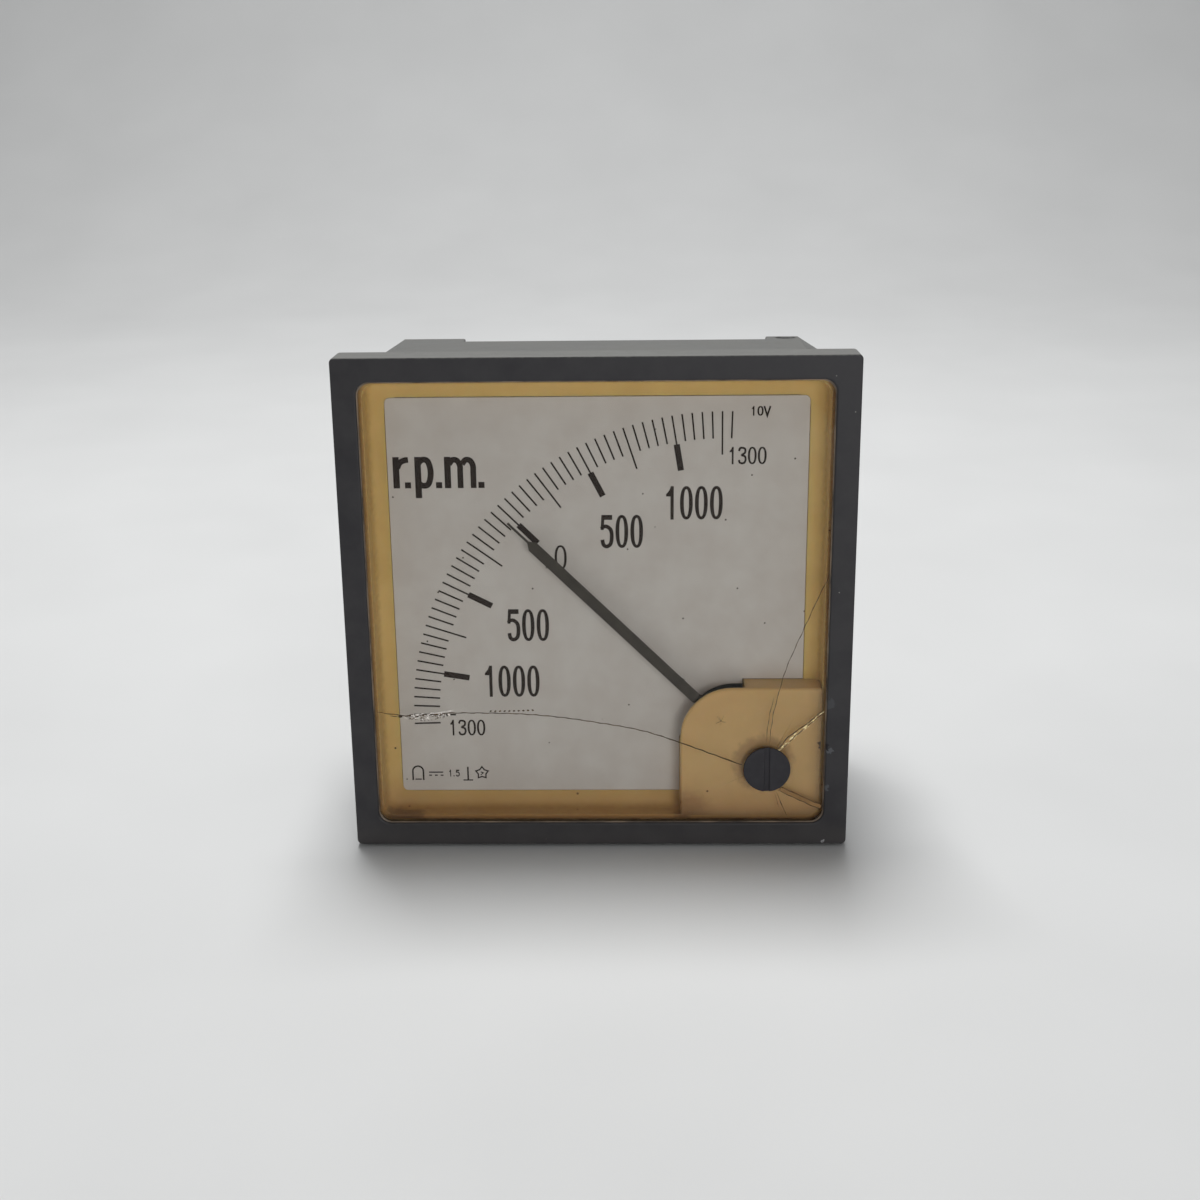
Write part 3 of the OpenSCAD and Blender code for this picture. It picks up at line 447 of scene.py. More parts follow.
class TachoSizes(bpy.types.PropertyGroup):
    """Sizes of the edges and forms that this script shapes"""
    bezel_edge: bpy.props.FloatProperty(
        name="Bezel edge", description="Rounding of the bezel's outer front edge",
        default=0.3 * MM, min=0.1 * MM, max=1.5 * MM, unit="LENGTH", precision=5)
    opening_edge: bpy.props.FloatProperty(
        name="Opening edge", description="Rounding of the bezel's edge round the pane",
        default=0.35 * MM, min=0.05 * MM, max=0.5 * MM, unit="LENGTH", precision=5)
    cover_edge: bpy.props.FloatProperty(
        name="Cover edge", description="Rounding of the corner cover's free edges",
        default=0.6 * MM, min=0.2 * MM, max=2 * MM, unit="LENGTH", precision=5)
    cover_draft: bpy.props.FloatProperty(
        name="Cover draft", description="How far the cover's top side leans in at its face",
        default=0.2 * MM, min=0, max=0.5 * MM, unit="LENGTH", precision=5)
    cover_corner: bpy.props.FloatProperty(
        name="Cover corner", description="Radius of the round corner of the cover's face",
        default=10 * MM, min=8 * MM, max=10.5 * MM, unit="LENGTH", precision=4)
    tray_fillet: bpy.props.FloatProperty(
        name="Tray fillet", description="Rounding between the tray's face and its wall",
        default=1.9 * MM, min=0.2 * MM, max=3.1 * MM, unit="LENGTH", precision=5)
    well: bpy.props.FloatProperty(
        name="Well", description="Radius of the hole in the tray's floor round the movement",
        default=8.6 * MM, min=8 * MM, max=9 * MM, unit="LENGTH", precision=5)
    case_edge: bpy.props.FloatProperty(
        name="Case edge", description="Rounding of the case's edges",
        default=0.3 * MM, min=0.05 * MM, max=0.6 * MM, unit="LENGTH", precision=5)
    ink: bpy.props.FloatProperty(
        name="Ink thickness", description="How far the printing stands off the dial",
        default=0.03 * MM, min=0.01 * MM, max=0.1 * MM, unit="LENGTH", precision=6)


class TachoColours(bpy.types.PropertyGroup):
    """Two tones for each of the main finishes, which lie on it in patches"""
    bezel: bpy.props.FloatVectorProperty(
        name="Bezel", description="Colour of the bezel's plastic",
        default=linear("#323134"), size=4, min=0, max=1, subtype="COLOR")
    bezel_patches: bpy.props.FloatVectorProperty(
        name="Bezel patches", description="Where the bezel is rubbed lighter",
        default=linear("#3b3a3c"), size=4, min=0, max=1, subtype="COLOR")
    case: bpy.props.FloatVectorProperty(
        name="Case", description="Colour of the case's plastic",
        default=linear("#595957"), size=4, min=0, max=1, subtype="COLOR")
    case_patches: bpy.props.FloatVectorProperty(
        name="Case patches", description="Flow marks in the case's plastic",
        default=linear("#5e5e5b"), size=4, min=0, max=1, subtype="COLOR")
    tray: bpy.props.FloatVectorProperty(
        name="Tray", description="Colour of the tray's amber plastic",
        default=linear("#e4c37c"), size=4, min=0, max=1, subtype="COLOR")
    tray_patches: bpy.props.FloatVectorProperty(
        name="Tray patches", description="Lighter patches of the tray's plastic",
        default=linear("#edcd88"), size=4, min=0, max=1, subtype="COLOR")
    cover: bpy.props.FloatVectorProperty(
        name="Cover", description="Colour of the corner cover's faded amber plastic",
        default=linear("#dcb781"), size=4, min=0, max=1, subtype="COLOR")
    cover_patches: bpy.props.FloatVectorProperty(
        name="Cover patches", description="Lighter patches of the cover's plastic",
        default=linear("#e6c08b"), size=4, min=0, max=1, subtype="COLOR")
    dial: bpy.props.FloatVectorProperty(
        name="Dial", description="Colour of the dial's enamel",
        default=linear("#d8d4d5"), size=4, min=0, max=1, subtype="COLOR")
    dial_patches: bpy.props.FloatVectorProperty(
        name="Dial patches", description="Lighter patches of the dial's enamel",
        default=linear("#e0dee0"), size=4, min=0, max=1, subtype="COLOR")
    ink: bpy.props.FloatVectorProperty(
        name="Ink", description="Colour of the printing on the dial",
        default=linear("#251b19"), size=4, min=0, max=1, subtype="COLOR")
    ink_patches: bpy.props.FloatVectorProperty(
        name="Ink patches", description="Where the printing is thinner",
        default=linear("#302623"), size=4, min=0, max=1, subtype="COLOR")
    adjuster: bpy.props.FloatVectorProperty(
        name="Adjuster", description="Colour of the zero adjuster's plastic",
        default=linear("#323135"), size=4, min=0, max=1, subtype="COLOR")
    adjuster_patches: bpy.props.FloatVectorProperty(
        name="Adjuster patches", description="Where the adjuster is greyed by dust",
        default=linear("#3b3a3e"), size=4, min=0, max=1, subtype="COLOR")
    floor: bpy.props.FloatVectorProperty(
        name="Floor", description="Colour of the pale floor and backdrop",
        default=linear("#dcdddd"), size=4, min=0, max=1, subtype="COLOR")
    floor_patches: bpy.props.FloatVectorProperty(
        name="Floor patches", description="Unevenness of the floor's paint",
        default=linear("#d2d3d3"), size=4, min=0, max=1, subtype="COLOR")


class TachoStage(bpy.types.PropertyGroup):
    """Camera and lights"""
    lens: bpy.props.FloatProperty(
        name="Lens", description="Focal length on a 36 mm sensor", default=47.955, min=1,
        unit="CAMERA")
    overhead: bpy.props.FloatProperty(
        name="Overhead light", description="Power of the large lamp above and behind",
        default=6.6, min=0, unit="POWER")
    front: bpy.props.FloatProperty(
        name="Front light", description="Power of the lamp in front", default=1.16, min=0,
        unit="POWER")
    ambient: bpy.props.FloatProperty(
        name="Ambient light", description="Strength of the even light from all round",
        default=0.18, min=0, max=1, subtype="FACTOR")
    backdrop: bpy.props.FloatProperty(
        name="Backdrop",
        description="Brightness of the surroundings past the floor, where 1 is white",
        default=0.62, min=0, max=1, subtype="FACTOR")


# Operators, with the functions and tables that they use beside them

class TACHO_OT_stage(bpy.types.Operator):
    """Set up the camera, the floor with its backdrop and the soft lights"""
    bl_idname = "tacho.stage"
    bl_label = "Stage"

    def execute(self, context):
        scene = context.scene
        stage = scene.tacho_stage
        for name in ("Cube", "Light", "Camera"):
            if name in bpy.data.objects:
                bpy.data.objects.remove(bpy.data.objects[name])
        camera = bpy.data.objects.new("Camera", bpy.data.cameras.new("Camera"))
        camera.data.lens = stage.lens
        camera.data.sensor_width = 36
        camera.data.clip_start = 0.01
        camera.matrix_world = camera_matrix()
        scene.collection.objects.link(camera)
        scene.camera = camera
        lamp(scene, "Overhead lamp", place=(-40, 165, 790), size=280, power=stage.overhead)
        lamp(scene, "Front lamp", place=(230, -720, 80), size=260, power=stage.front)
        floor = piece("Floor", [grid(floor_points(), around=False)], smooth_angle=60)
        coat(floor, floor_material(scene.tacho_colours))
        scene.world = even_light(stage.ambient, stage.backdrop)
        scene.view_settings.view_transform = "Standard"
        return {"FINISHED"}


def camera_matrix():
    """Camera's place and turn, as found from the four corners of the bezel in the photograph.

    The view ahead is (sin yaw cos pitch, cos yaw cos pitch, -sin pitch), the level direction is
    (cos yaw, -sin yaw, 0), down is their cross product, and roll turns the last two."""
    place = np.array([7.4644, -293.3843, 90.4086]) * MM
    yaw, pitch, roll = radians(-1.4152), radians(17.10), radians(0.6474)
    ahead = np.array([sin(yaw) * cos(pitch), cos(yaw) * cos(pitch), -sin(pitch)])
    level = np.array([cos(yaw), -sin(yaw), 0])
    down = np.cross(ahead, level)
    right, down = cos(roll) * level + sin(roll) * down, cos(roll) * down - sin(roll) * level
    matrix = np.eye(4)
    matrix[:3] = np.column_stack([right, -down, -ahead, place])
    return Matrix(matrix)


def lamp(scene, name, place, size, power):
    """Square area lamp at a place in millimetres, turned to the middle of the meter."""
    light = bpy.data.lights.new(name, "AREA")
    light.size = size * MM
    light.energy = power
    obj = bpy.data.objects.new(name, light)
    obj.location = np.array(place) * MM
    obj.rotation_euler = obj.location.to_track_quat("Z", "Y").to_euler()
    scene.collection.objects.link(obj)


def even_light(ambient, backdrop):
    """World that lights the meter evenly, and that the camera, gloss and glass see as pale."""
    world = bpy.data.worlds.new("Even light")
    world.use_nodes = True
    tree = world.node_tree
    ray = add(tree, "ShaderNodeLightPath")
    seen = add(tree, "ShaderNodeMath", {0: ray.outputs["Is Camera Ray"],
                                        1: ray.outputs["Is Glossy Ray"]}, operation="ADD")
    seen = add(tree, "ShaderNodeMath", {0: seen.outputs[0],
                                        1: ray.outputs["Is Transmission Ray"]},
               operation="ADD", use_clamp=True)
    strength = add(tree, "ShaderNodeMapRange", {"Value": seen.outputs[0], "To Min": ambient,
                                                "To Max": backdrop})
    plug(tree, tree.nodes["Background"], {"Color": (1, 1, 1, 1), "Strength": strength.outputs[0]})
    return world


def floor_points():
    """Floor that the meter leans back on, carried across in x.

    It is straight from the front to the bend, along the line through the bezel's lower rear edge
    and the lower feet, and then turns up through a quarter circle into a straight backdrop."""
    feet = 46 + FRONT  # depth of the lower feet, 46 mm behind the bezel's front
    near, far = -900, 500  # where the straight floor starts and ends
    bend, side = 400, 1200  # radius of the quarter circle, and half the floor's width
    foot = np.array([0.0, BEZEL_LO[2]])
    slope = np.arctan2(CASE_LO[2] - BEZEL_LO[2], feet)
    along, up = np.array([cos(slope), sin(slope)]), np.array([-sin(slope), cos(slope)])
    flat = foot + np.outer(np.linspace(near, far, 15), along)
    turn = np.radians(np.linspace(0, 90, 25))
    curve = (foot + far * along + bend * up
             + bend * (np.outer(np.sin(turn), along) - np.outer(np.cos(turn), up)))
    wall = curve[-1] + np.outer([300, 900], up)
    line = np.vstack([flat, curve[1:], wall])
    return spread(np.linspace(-side, side, 13), line[:, :1], line[:, 1:])


def floor_material(colours):
    """Matt painted board: pale, with a faint unevenness of the paint."""
    material, tree, shader, place = new_material("Matt painted board")
    noise = add(tree, "ShaderNodeTexNoise", {"Vector": place, "Scale": per(60), "Detail": 2.0})
    tint = add(tree, "ShaderNodeMix", {0: noise.outputs[0], 6: tinted(colours.floor),
                                       7: tinted(colours.floor_patches)}, data_type="RGBA")
    plug(tree, shader, {"Base Color": tint.outputs[2], "Roughness": 0.9,
                        "Specular IOR Level": 0.2})
    return material


class TACHO_OT_bezel(bpy.types.Operator):
    """Build the square front frame with its rounded edges"""
    bl_idname = "tacho.bezel"
    bl_label = "Bezel"

    def execute(self, context):
        sizes = context.scene.tacho_sizes
        half, pane, case = BEZEL_HI[0], PANE_HI[0] + FIT, CASE_HI[0] + FIT
        opening = PANE_HI[0] - 0.9  # the bezel laps 0.9 mm over the pane
        lip, shoulder, rear = PANE_LO[1], CASE_LO[1], BEZEL_HI[1]
        # Rows of half width, corner radius and depth, from the opening's front edge round to its
        # rear edge, and how far each corner of that section is rounded
        profile = [(opening, OPENING_CORNER, FRONT), (half, 1.0, FRONT), (half, 1.0, rear),
                   (case, 1.6, rear), (case, 1.6, shoulder), (pane, 2.6, shoulder),
                   (pane, 2.6, lip), (opening, OPENING_CORNER, lip)]
        cuts = [sizes.opening_edge / MM, sizes.bezel_edge / MM, 0.25, 0.3, 0, 0, 0, 0.1]
        loops = square_loops(eased(profile, cuts))
        beads = [snap_bead(x, case, quarter) for quarter in range(4) for x in (-25, 25)]
        obj = weighted(piece("bezel_frame", [solid(loops, along=True)] + beads))
        finished(obj, bezel_material(context.scene.tacho_colours), "case",
                 ["bezel"])
        return {"FINISHED"}


def snap_bead(x, face, quarter):
    """Bead on the bezel's inner face that the case snaps past, turned about y by quarters.

    Its section is half an oval, (middle + half cos a, face - high sin a) with a from 0 to 180
    degrees, closed behind the face, and it runs straight along x."""
    middle, half, high, sunk, reach = -1.7, 0.4, 0.35, 0.3, 5.0
    a = np.linspace(0, pi, 9)
    y, z = middle + half * np.cos(a), face - high * np.sin(a)
    y, z = np.append(y, [y[-1], y[0]]), np.append(z, [face + sunk, face + sunk])
    loops = spread([[x - reach], [x + reach]], y, z)
    c, s = cos(quarter * pi / 2), sin(quarter * pi / 2)
    return solid(loops @ np.array([[c, 0, s], [0, 1, 0], [-s, 0, c]]))


def bezel_material(colours):
    # Compression-moulded charcoal plastic: satin, with rubbed lighter patches and pale dust.
    # Its top side is painted pale grey, as dust and as a painted sheen of the light from above,
    # and its bottom is painted lighter, as thin dust and as painted bounce light off the floor.
    # The places chipped out of the opening's edge show raw grey; the notch beside them is painted
    # dark as its shade, and a small chip at the bottom edge is painted near white as a glint
    chips_shade_and_glint = [((44.1, -7, -28.4), 0.9, 0.6, 0.8, "#5d5f63"),
             # painted shade: the dark notch beside the chipped place
             ((43.7, -7, -27.4), 0.6, 0.4, 1, "#18161a"),
             ((44.0, -7, -18.6), 1.3, 0.8, 0.5, "#515256"),
             ((43.9, -7, -36.1), 0.6, 0.4, 0.6, "#5a5c60"),
             # a small chip at the bottom edge, painted near white as a glint on it
             ((43.6, -7, -47.7), 0.4, 0.2, 0.8, "#b9babc")]
    return mottled("Charcoal moulded plastic", colours.bezel, colours.bezel_patches, patch=7,
                   grain=0.25, rough=0.45, rough_span=0.12, bump=0.006, specular=0.25,
                   specks=(0.08, "#83817d", 1.8, 0.07),
                   # painted sheen with dust on the top side, and painted bounce light with thin
                   # dust along the bottom
                   layers=[("z", 47.65, 47.95, 0.9, "#6f6f6c"), ("z", -42, -47, 0.5, "#4d4a49"),
                           *chips_shade_and_glint])


class TACHO_OT_housing(bpy.types.Operator):
    """Build the grey case with softened edges"""
    bl_idname = "tacho.housing"
    bl_label = "Case"

    def execute(self, context):
        scene = context.scene
        obj = softened("housing", "case_shell", scene.tacho_sizes.case_edge / MM)
        finished(obj, case_material(scene.tacho_colours), "case", ["housing"])
        return {"FINISHED"}


def case_material(colours):
    # Injection-moulded grey plastic: even satin with slight flow marks and dust, and painted
    # shade, nearly black, in and round the clamp's slot
    return mottled("Grey moulded plastic", colours.case, colours.case_patches, patch=12,
                   grain=0.3, rough=0.45, bump=0.008, specks=(0.1, "#a3a19b", 2.5, 0.05),
                   # painted shade in and round the clamp's slot
                   layers=[((38, 37.2, 43.8), 2.7, 1.8, 0.85, "#262524")])


class TACHO_OT_tray(bpy.types.Operator):
    """Build the amber tray that holds the dial and the movement"""
    bl_idname = "tacho.tray"
    bl_label = "Tray"

    def execute(self, context):
        sizes = context.scene.tacho_sizes
        fillet, well = sizes.tray_fillet / MM, sizes.well / MM
        wall, bottom = 1, 1.2  # thicknesses
        outer, inner, seat = TRAY_HI[0], TRAY_HI[0] - wall, DIAL_HI[0] + SEAM
        rim, bowl = TRAY_LO[1], DIAL_LO[1] + 0.1
        floor, back = DIAL_HI[1], DIAL_HI[1] + bottom
        corner = OPENING_CORNER
        # Rows of half width, corner radius and depth, from the dial's seat over the rim to the
        # back, and how far each corner of that section is rounded
        profile = [(seat, corner, floor), (seat, corner, bowl), (inner - 0.1, corner, bowl),
                   (inner, corner, rim), (outer, corner, rim), (outer, corner, back)]
        rows = eased(profile, [0, 0.1, fillet, 0.12, 0.15, 0.3])
        loops = square_loops(rows[EASE:])
        front, rear = (circle_towards(loops[-1], PIVOT, well, depth) for depth in (floor, back))
        loops = np.concatenate([front[None], loops, rear[None]])
        # The posts under the movement's two screws, up to the iron ring
        lo, hi = extent("movement_screws")
        top = extent("yoke_ring")[0][1]
        bore, post, head, sunk, chamfer = 1.02, 2.6, 1.9, 0.3, 0.2
        section = [(bore, back - sunk), (post, back - sunk), (post, top - chamfer),
                   (post - chamfer, top), (bore, top)]
        posts = [turned(section, centre) for centre in
                 ((lo[0] + head, hi[2] - head), (hi[0] - head, lo[2] + head))]
        obj = weighted(piece("tray_shell", [solid(loops, along=True)] + posts))
        finished(obj, amber_material(context.scene.tacho_colours), "case",
                 ["inner_tray"])
        return {"FINISHED"}


# Painted shade and brown dirt on the amber pieces: painted shade with some dirt near the bezel's
# lip, painted shade towards the bottom, dirt in the bottom left corner, and painted shade in the
# corner at the foot of the cover
SHADE_AND_DIRT = [("side", 41.8, 43.7, 0.75, "#8f6440"), ("z", -34, -44, 0.5, "#b5855a"),
          # dirt in the bottom left corner
          ((-40, -4, -42.8), 3.4, 1.2, 0.6, "#624a3c"), ((-36.8, -4, -43), 2.6, 1, 0.6, "#624a3c"),
          # painted shade in the corner at the foot of the cover
          ((16, -4, -43.2), 2.2, 0.8, 0.5, "#624a3c")]
# What both amber finishes share: satin, and soft in the light that goes in and comes out
AMBER = dict(patch=9, grain=0.3, rough=0.5, bump=0.006, specular=0.3, depth=1.6)


def amber_material(colours):
    # Amber phenolic moulding: warm, browner near the bezel and towards the bottom with painted
    # shade and dirt, with dark specks
    return mottled("Amber moulded plastic", colours.tray, colours.tray_patches,
                   specks=(0.07, "#5a4526", 2.4, 0.1), layers=SHADE_AND_DIRT, **AMBER)


def cover_material(colours):
    # The same amber moulding, paler and duller where it has lain close behind the pane. Painted
    # shade darkens its outer sides and its lower left corner, where it meets the tray's strip; it
    # is darker brown round the adjuster, most to the upper left, and the notch at the bezel's chip
    # is painted dark as its shade
    return mottled("Faded amber moulded plastic", colours.cover, colours.cover_patches,
                   specks=(0.08, "#6a5230", 2.6, 0.1),
                   # painted shade with dirt as on the tray, and painted shade towards the outer
                   # sides
                   layers=[*SHADE_AND_DIRT, ("side", 39.6, 43.4, 0.4, "#8f6440"),
                           # painted shade at the lower left corner, to match the shaded strip of
                           # the tray
                           ((15.4, -4.9, -43.6), 8.5, 2.5, 0.6, "#8a6340"),
                           # darker brown round the adjuster, most to its upper left
                           ((31.7, -4.9, -31.7), 6.6, 4.8, 0.35, "#6d4a38"),
                           # painted shade of the notch at the bezel's chip
                           ((43.2, -4.9, -27.8), 1.1, 0.5, 0.9, "#2a211d")], **AMBER)


class TACHO_OT_cover(bpy.types.Operator):
    """Build the amber cover over the movement, with the pointer's slot in its wall"""
    bl_idname = "tacho.cover"
    bl_label = "Corner cover"

    def execute(self, context):
        sizes = context.scene.tacho_sizes
        edge, draft = sizes.cover_edge / MM, sizes.cover_draft / MM
        corner = sizes.cover_corner / MM
        hole, opening, wall = 3.6, 4.7, 0.6  # radius, half width and thickness
        lo, hi = COVER_LO, COVER_HI + [SEAM, 0, -COVER_DROP]  # the seam at its right is closed
        front, rear = lo[1], hi[1]
        t = np.radians(np.linspace(90, 0, EASE + 1))
        foot = DIAL_LO[1]
        # Rows from the face's middle to the foot of the wall: inset, depth and draft used up
        rows = np.array([[edge + 5, front, 1], [edge + 2, front, 1],
                         *np.stack([edge * (1 - np.cos(t)), front + edge * (1 - np.sin(t)),
                                    np.ones_like(t)], 1),
                         [0, front + edge + 0.1, 0.97], [0, foot, 0], [0, rear, 0]])
        inset, depth, drawn = rows.T
        # The top side leans in by the whole draft, the left one by a fifth, the others by none
        side = inset + 0.2 * draft * drawn
        top = inset + draft * drawn
        back_off = np.maximum(inset - edge, 0)
        # Radii from the top right round: nearly sharp, the free corner, nearly sharp, and the
        # one in the corner of the bezel's opening
        small = np.full_like(inset, 0.3)
        radii = np.stack([small, np.maximum(corner - inset, 1), small,
                          np.maximum(OPENING_CORNER - back_off, 0.5)], 1)
        outline = round_box(lo[0] + side, hi[0] - back_off, lo[2] + back_off, hi[2] - top, radii,
                            divisions=21)
        loops = at_depth(outline, depth)
        loops = np.concatenate([circle_towards(loops[0], ADJUSTER, hole, front)[None], loops])
        # Faces of the wall that are left out: those against the tray, and the pointer's opening
        rows = np.arange(len(loops) - 1)[:, None]
        x, z = ((c + np.roll(c, -1)) / 2 for c in (loops[-1, :, 0], loops[-1, :, 2]))
        hidden = (x > hi[0] - 0.2) | (z < lo[2] + 0.2) | ((x - z) > hi[0] - lo[2] - 3)
        open_corner = (x < PIVOT[0] + opening) & (z > PIVOT[1] - opening)
        points, faces = grid(loops, keep=~((rows > EASE + 2) & (hidden | open_corner)))
        obj = piece("cover_shell", [(points, faces)])
        outward_front(obj)
        shell = obj.modifiers.new("Wall", "SOLIDIFY")
        shell.thickness = wall * MM
        shell.offset = -1
        shell.use_even_offset = True
        weighted(obj)
        finished(obj, cover_material(context.scene.tacho_colours), "case",
                 ["corner_cover"])
        return {"FINISHED"}


def outward_front(obj):
    """Turns an open shell's faces so that its front face looks forwards.

    The sum of area times the normal's y over the faces has to come out negative."""
    mesh = obj.data
    normals, areas = np.zeros((len(mesh.polygons), 3)), np.zeros(len(mesh.polygons))
    mesh.polygons.foreach_get("normal", normals.ravel())
    mesh.polygons.foreach_get("area", areas)
    if np.sum(normals[:, 1] * areas) > 0:
        mesh.flip_normals()


class TACHO_OT_window(bpy.types.Operator):
    """Build the clear pane with its hole and its cracks"""
    bl_idname = "tacho.window"
    bl_label = "Window"

    def execute(self, context):
        half, front, rear = PANE_HI[0], PANE_LO[1], PANE_HI[1]
        # Corner radius, radius of the adjuster's hole, and half width of the line of glue
        corner, hole, glued = OPENING_CORNER, 2.55, PANE_HI[0] - 0.92
        loops = square_loops([(half - FIT, corner, front), (half, corner, front + FIT),
                              (half, corner, rear - FIT), (half - FIT, corner, rear)])
        ends = [circle_towards(loops[0], ADJUSTER, hole, depth)[None] for depth in (front, rear)]
        loops = np.concatenate([ends[0], loops, ends[1]])
        obj = weighted(piece("pane", [solid(loops, along=True)]))
        finished(obj, pane_material(), "case", ["window"])
        # Old glue in the corner between the pane and the bezel: pale in some stretches and dark
        # in others
        glue = mottled("Dried glue", "#8c7a66", "#3d342c", patch=6, grain=0.3, rough=0.5,
                       rough_span=0.2, bump=0.02)
        line = [(glued, corner, front), (glued, corner, front - 0.15),
                (glued - 0.2, corner, front)]
        finished(piece("pane_glue", [solid(square_loops(line), along=True)]), glue, "case")
        # Chips beside the cracks: white crumbs and dark grit at the left, gold ones at the right,
        # a row of dots along the long crack, and two dark spots. The white and the gold ones glow,
        # as painted highlights
        random = np.random.default_rng(7)
        crumbs = scattered(random, 60, (-37.4, -21.5), (-28.9, -20.9), 0.8, (0.6, 0.2))
        grit = scattered(random, 110, (-37.6, -21.4), (-29.2, -21.1), 0.95, (0.5, 0.12))
        gold = scattered(random, 34, (34.6, -28.4), (43.2, -20.2), 0.38, (0.55, 0.15))
        dots = [(x, -20.2 + 0.03 * (x + 20) ** 2 / 8, 0.5, 0.28, 10 - 7 * (x + 17))
                for x in np.arange(-20.9, -11.9, 0.9)]
        spots = [(-38.4, -21.3, 0.9, 0.35, 0), (-39.6, -21.2, 1.6, 0.12, -8)]
        # A fracture that lies open to the light: amber-brown and soft
        stain = mottled("Stained fracture", "#96703f", "#a67e4a", patch=1.5, grain=0.2,
                        rough=0.5)
        # Splinters of the broken edge, painted as glints: pale gold, and glowing like the light
        # they mirror
        bright = mottled("Glowing glint splinters", "#f3e8c0", "#8a7040", patch=0.5, grain=0.1,
                         rough=0.2, specular=0.8, glow=("#ffeeb0", 0.35))
        # Crushed edge of the pane: white in its small breaks, and glowing there as a painted
        # highlight
        crushed = mottled("Glowing crushed acrylic", "#e6e2dc", "#8f867c", patch=0.5, grain=0.1,
                          rough=0.4, glow=("#ece8e4", 0.3))
        for name, patches, material in [
                ("pane_cracks", [crack(*row) for row in CRACKS], crack_material()),
                ("pane_grit", splinters([*grit, *dots, *spots], front - 0.04), crack_material()),
                ("pane_stain", [crack(*STAIN, taper=0.2, behind=0.05)], stain),
                ("pane_splinters", splinters([*GLINTS, *gold], front - 0.03), bright),
                ("pane_crumbs", splinters([*crumbs, *GLOWING_STREAKS], front - 0.02), crushed)]:
            finished(piece(name, patches), material, "case")
        return {"FINISHED"}


# Cracks in the pane, as points (x, z) in millimetres with the width of each
CRACKS = [
    ([(27.4, -31.5), (15.3, -26.7), (7.8, -24.2), (0.1, -22.7), (-7.6, -21.5), (-15.3, -20.8),
      (-23, -20.6), (-28.8, -20.6), (-32.7, -20.9), (-36.6, -21.2), (-42.8, -20.4)], 0.13),
    ([(27.6, -31.5), (15.4, -26.75), (11, -25.2)], 0.14),
    ([(32.7, -27.2), (33.2, -22.2), (33.7, -19.3), (35.4, -12.4), (37.2, -7.6), (39, -3.2),
      (41.1, 1.9), (43.4, 7)], 0.1),
    ([(32.1, -27), (32.3, -24.2), (32.6, -21.5), (33.4, -17.5)], 0.08),
    ([(34.4, -28.2), (36, -26.1), (37.3, -24.9), (39.8, -23), (42.9, -20.2)], 0.14),
    ([(35.4, -28), (36.6, -26.7), (38.2, -25), (40.4, -23), (43.2, -20.5)], 0.1),
    ([(34.3, -37.3), (35.3, -39.6), (36.5, -42.5)], 0.12),
    ([(33.9, -37.4), (34.5, -39.2), (35.1, -41.3)], 0.07),
    ([(35.1, -36.1), (39.1, -38.05), (43.1, -40.0)], 0.07),
    ([(34.7, -36.9), (38.8, -38.9), (42.8, -40.85)], 0.12),
    ([(22.4, -22.9), (23.3, -22.35), (23.9, -21.3)], 0.07),
    ([(22.6, -21.5), (23.3, -22.35), (24.3, -22.6)], 0.06),
    ([(23.2, -23.3), (23.3, -22.35), (22.9, -21.3)], 0.05),
]
# A wide dull break between two of them, in the same form
STAIN = ([(34.9, -36.5), (39, -38.45), (43, -40.4)], 0.85)
# Splinters painted as glowing glints (x, z, length, width, direction in degrees) in millimetres
GLINTS = [(35.3, -27.6, 0.7, 0.16, 46), (36.9, -25.9, 1.1, 0.34, 38), (37.6, -25.0, 0.8, 0.2, 44),
          (39.6, -23.5, 0.9, 0.32, 42), (40.9, -22.3, 0.7, 0.18, 36), (42.4, -20.9, 0.8, 0.12, 38)]
# White streaks beside the crushed place, glowing as painted highlights, in the same form
GLOWING_STREAKS = [(-30.8, -20.5, 2.4, 0.2, 12), (-28.8, -20.15, 1.8, 0.16, 10),
           (-34.6, -20.8, 1.6, 0.16, 8)]


def crack(points, width, taper=2.0, behind=0.02):
    """Thin blade just inside the pane's face, along a smooth path.

    The path wavers by a small sum of sines of the distance along it, and so does the width."""
    path = curve_through(points, 10)
    s = np.concatenate([[0], np.cumsum(np.linalg.norm(np.diff(path, axis=0), axis=1))])
    path = path + 0.05 * np.stack([np.sin(1.7 * s), np.sin(2.3 * s + 1)], 1)
    width = width * np.clip(np.minimum(s, s[-1] - s) / taper, 0.15, 1)
    waver = min(0.4, 0.04 / width.max())
    left, right, _ = edges_of(path, width * (1 + waver * np.sin(3.1 * s)))
    front = PANE_LO[1] + behind
    return band(left, right, front, front + 0.15)


def scattered(random, count, start, end, spread, size):
    """Rows for splinters, scattered evenly in a lens from start to end.

    A place is start + u (end - start) + v n, with n square to the lens, u from 0 to 1, and v
    within the spread times the root of 1 - |2u - 1|."""
    start, along = np.array(start), np.subtract(end, start)
    u, v, stretch, turn = random.uniform(0, 1, (4, count))
    away = np.array([-along[1], along[0]]) / np.hypot(*along)
    offset = spread * (2 * v - 1) * np.sqrt(1 - np.abs(2 * u - 1))
    x, z = (start + np.outer(u, along) + np.outer(offset, away)).T
    length, width = (limit * (0.3 + 0.7 * stretch) for limit in size)
    direction = np.degrees(np.arctan2(along[1], along[0])) + 70 * (turn - 0.5)
    return list(zip(x, z, length, width, direction))


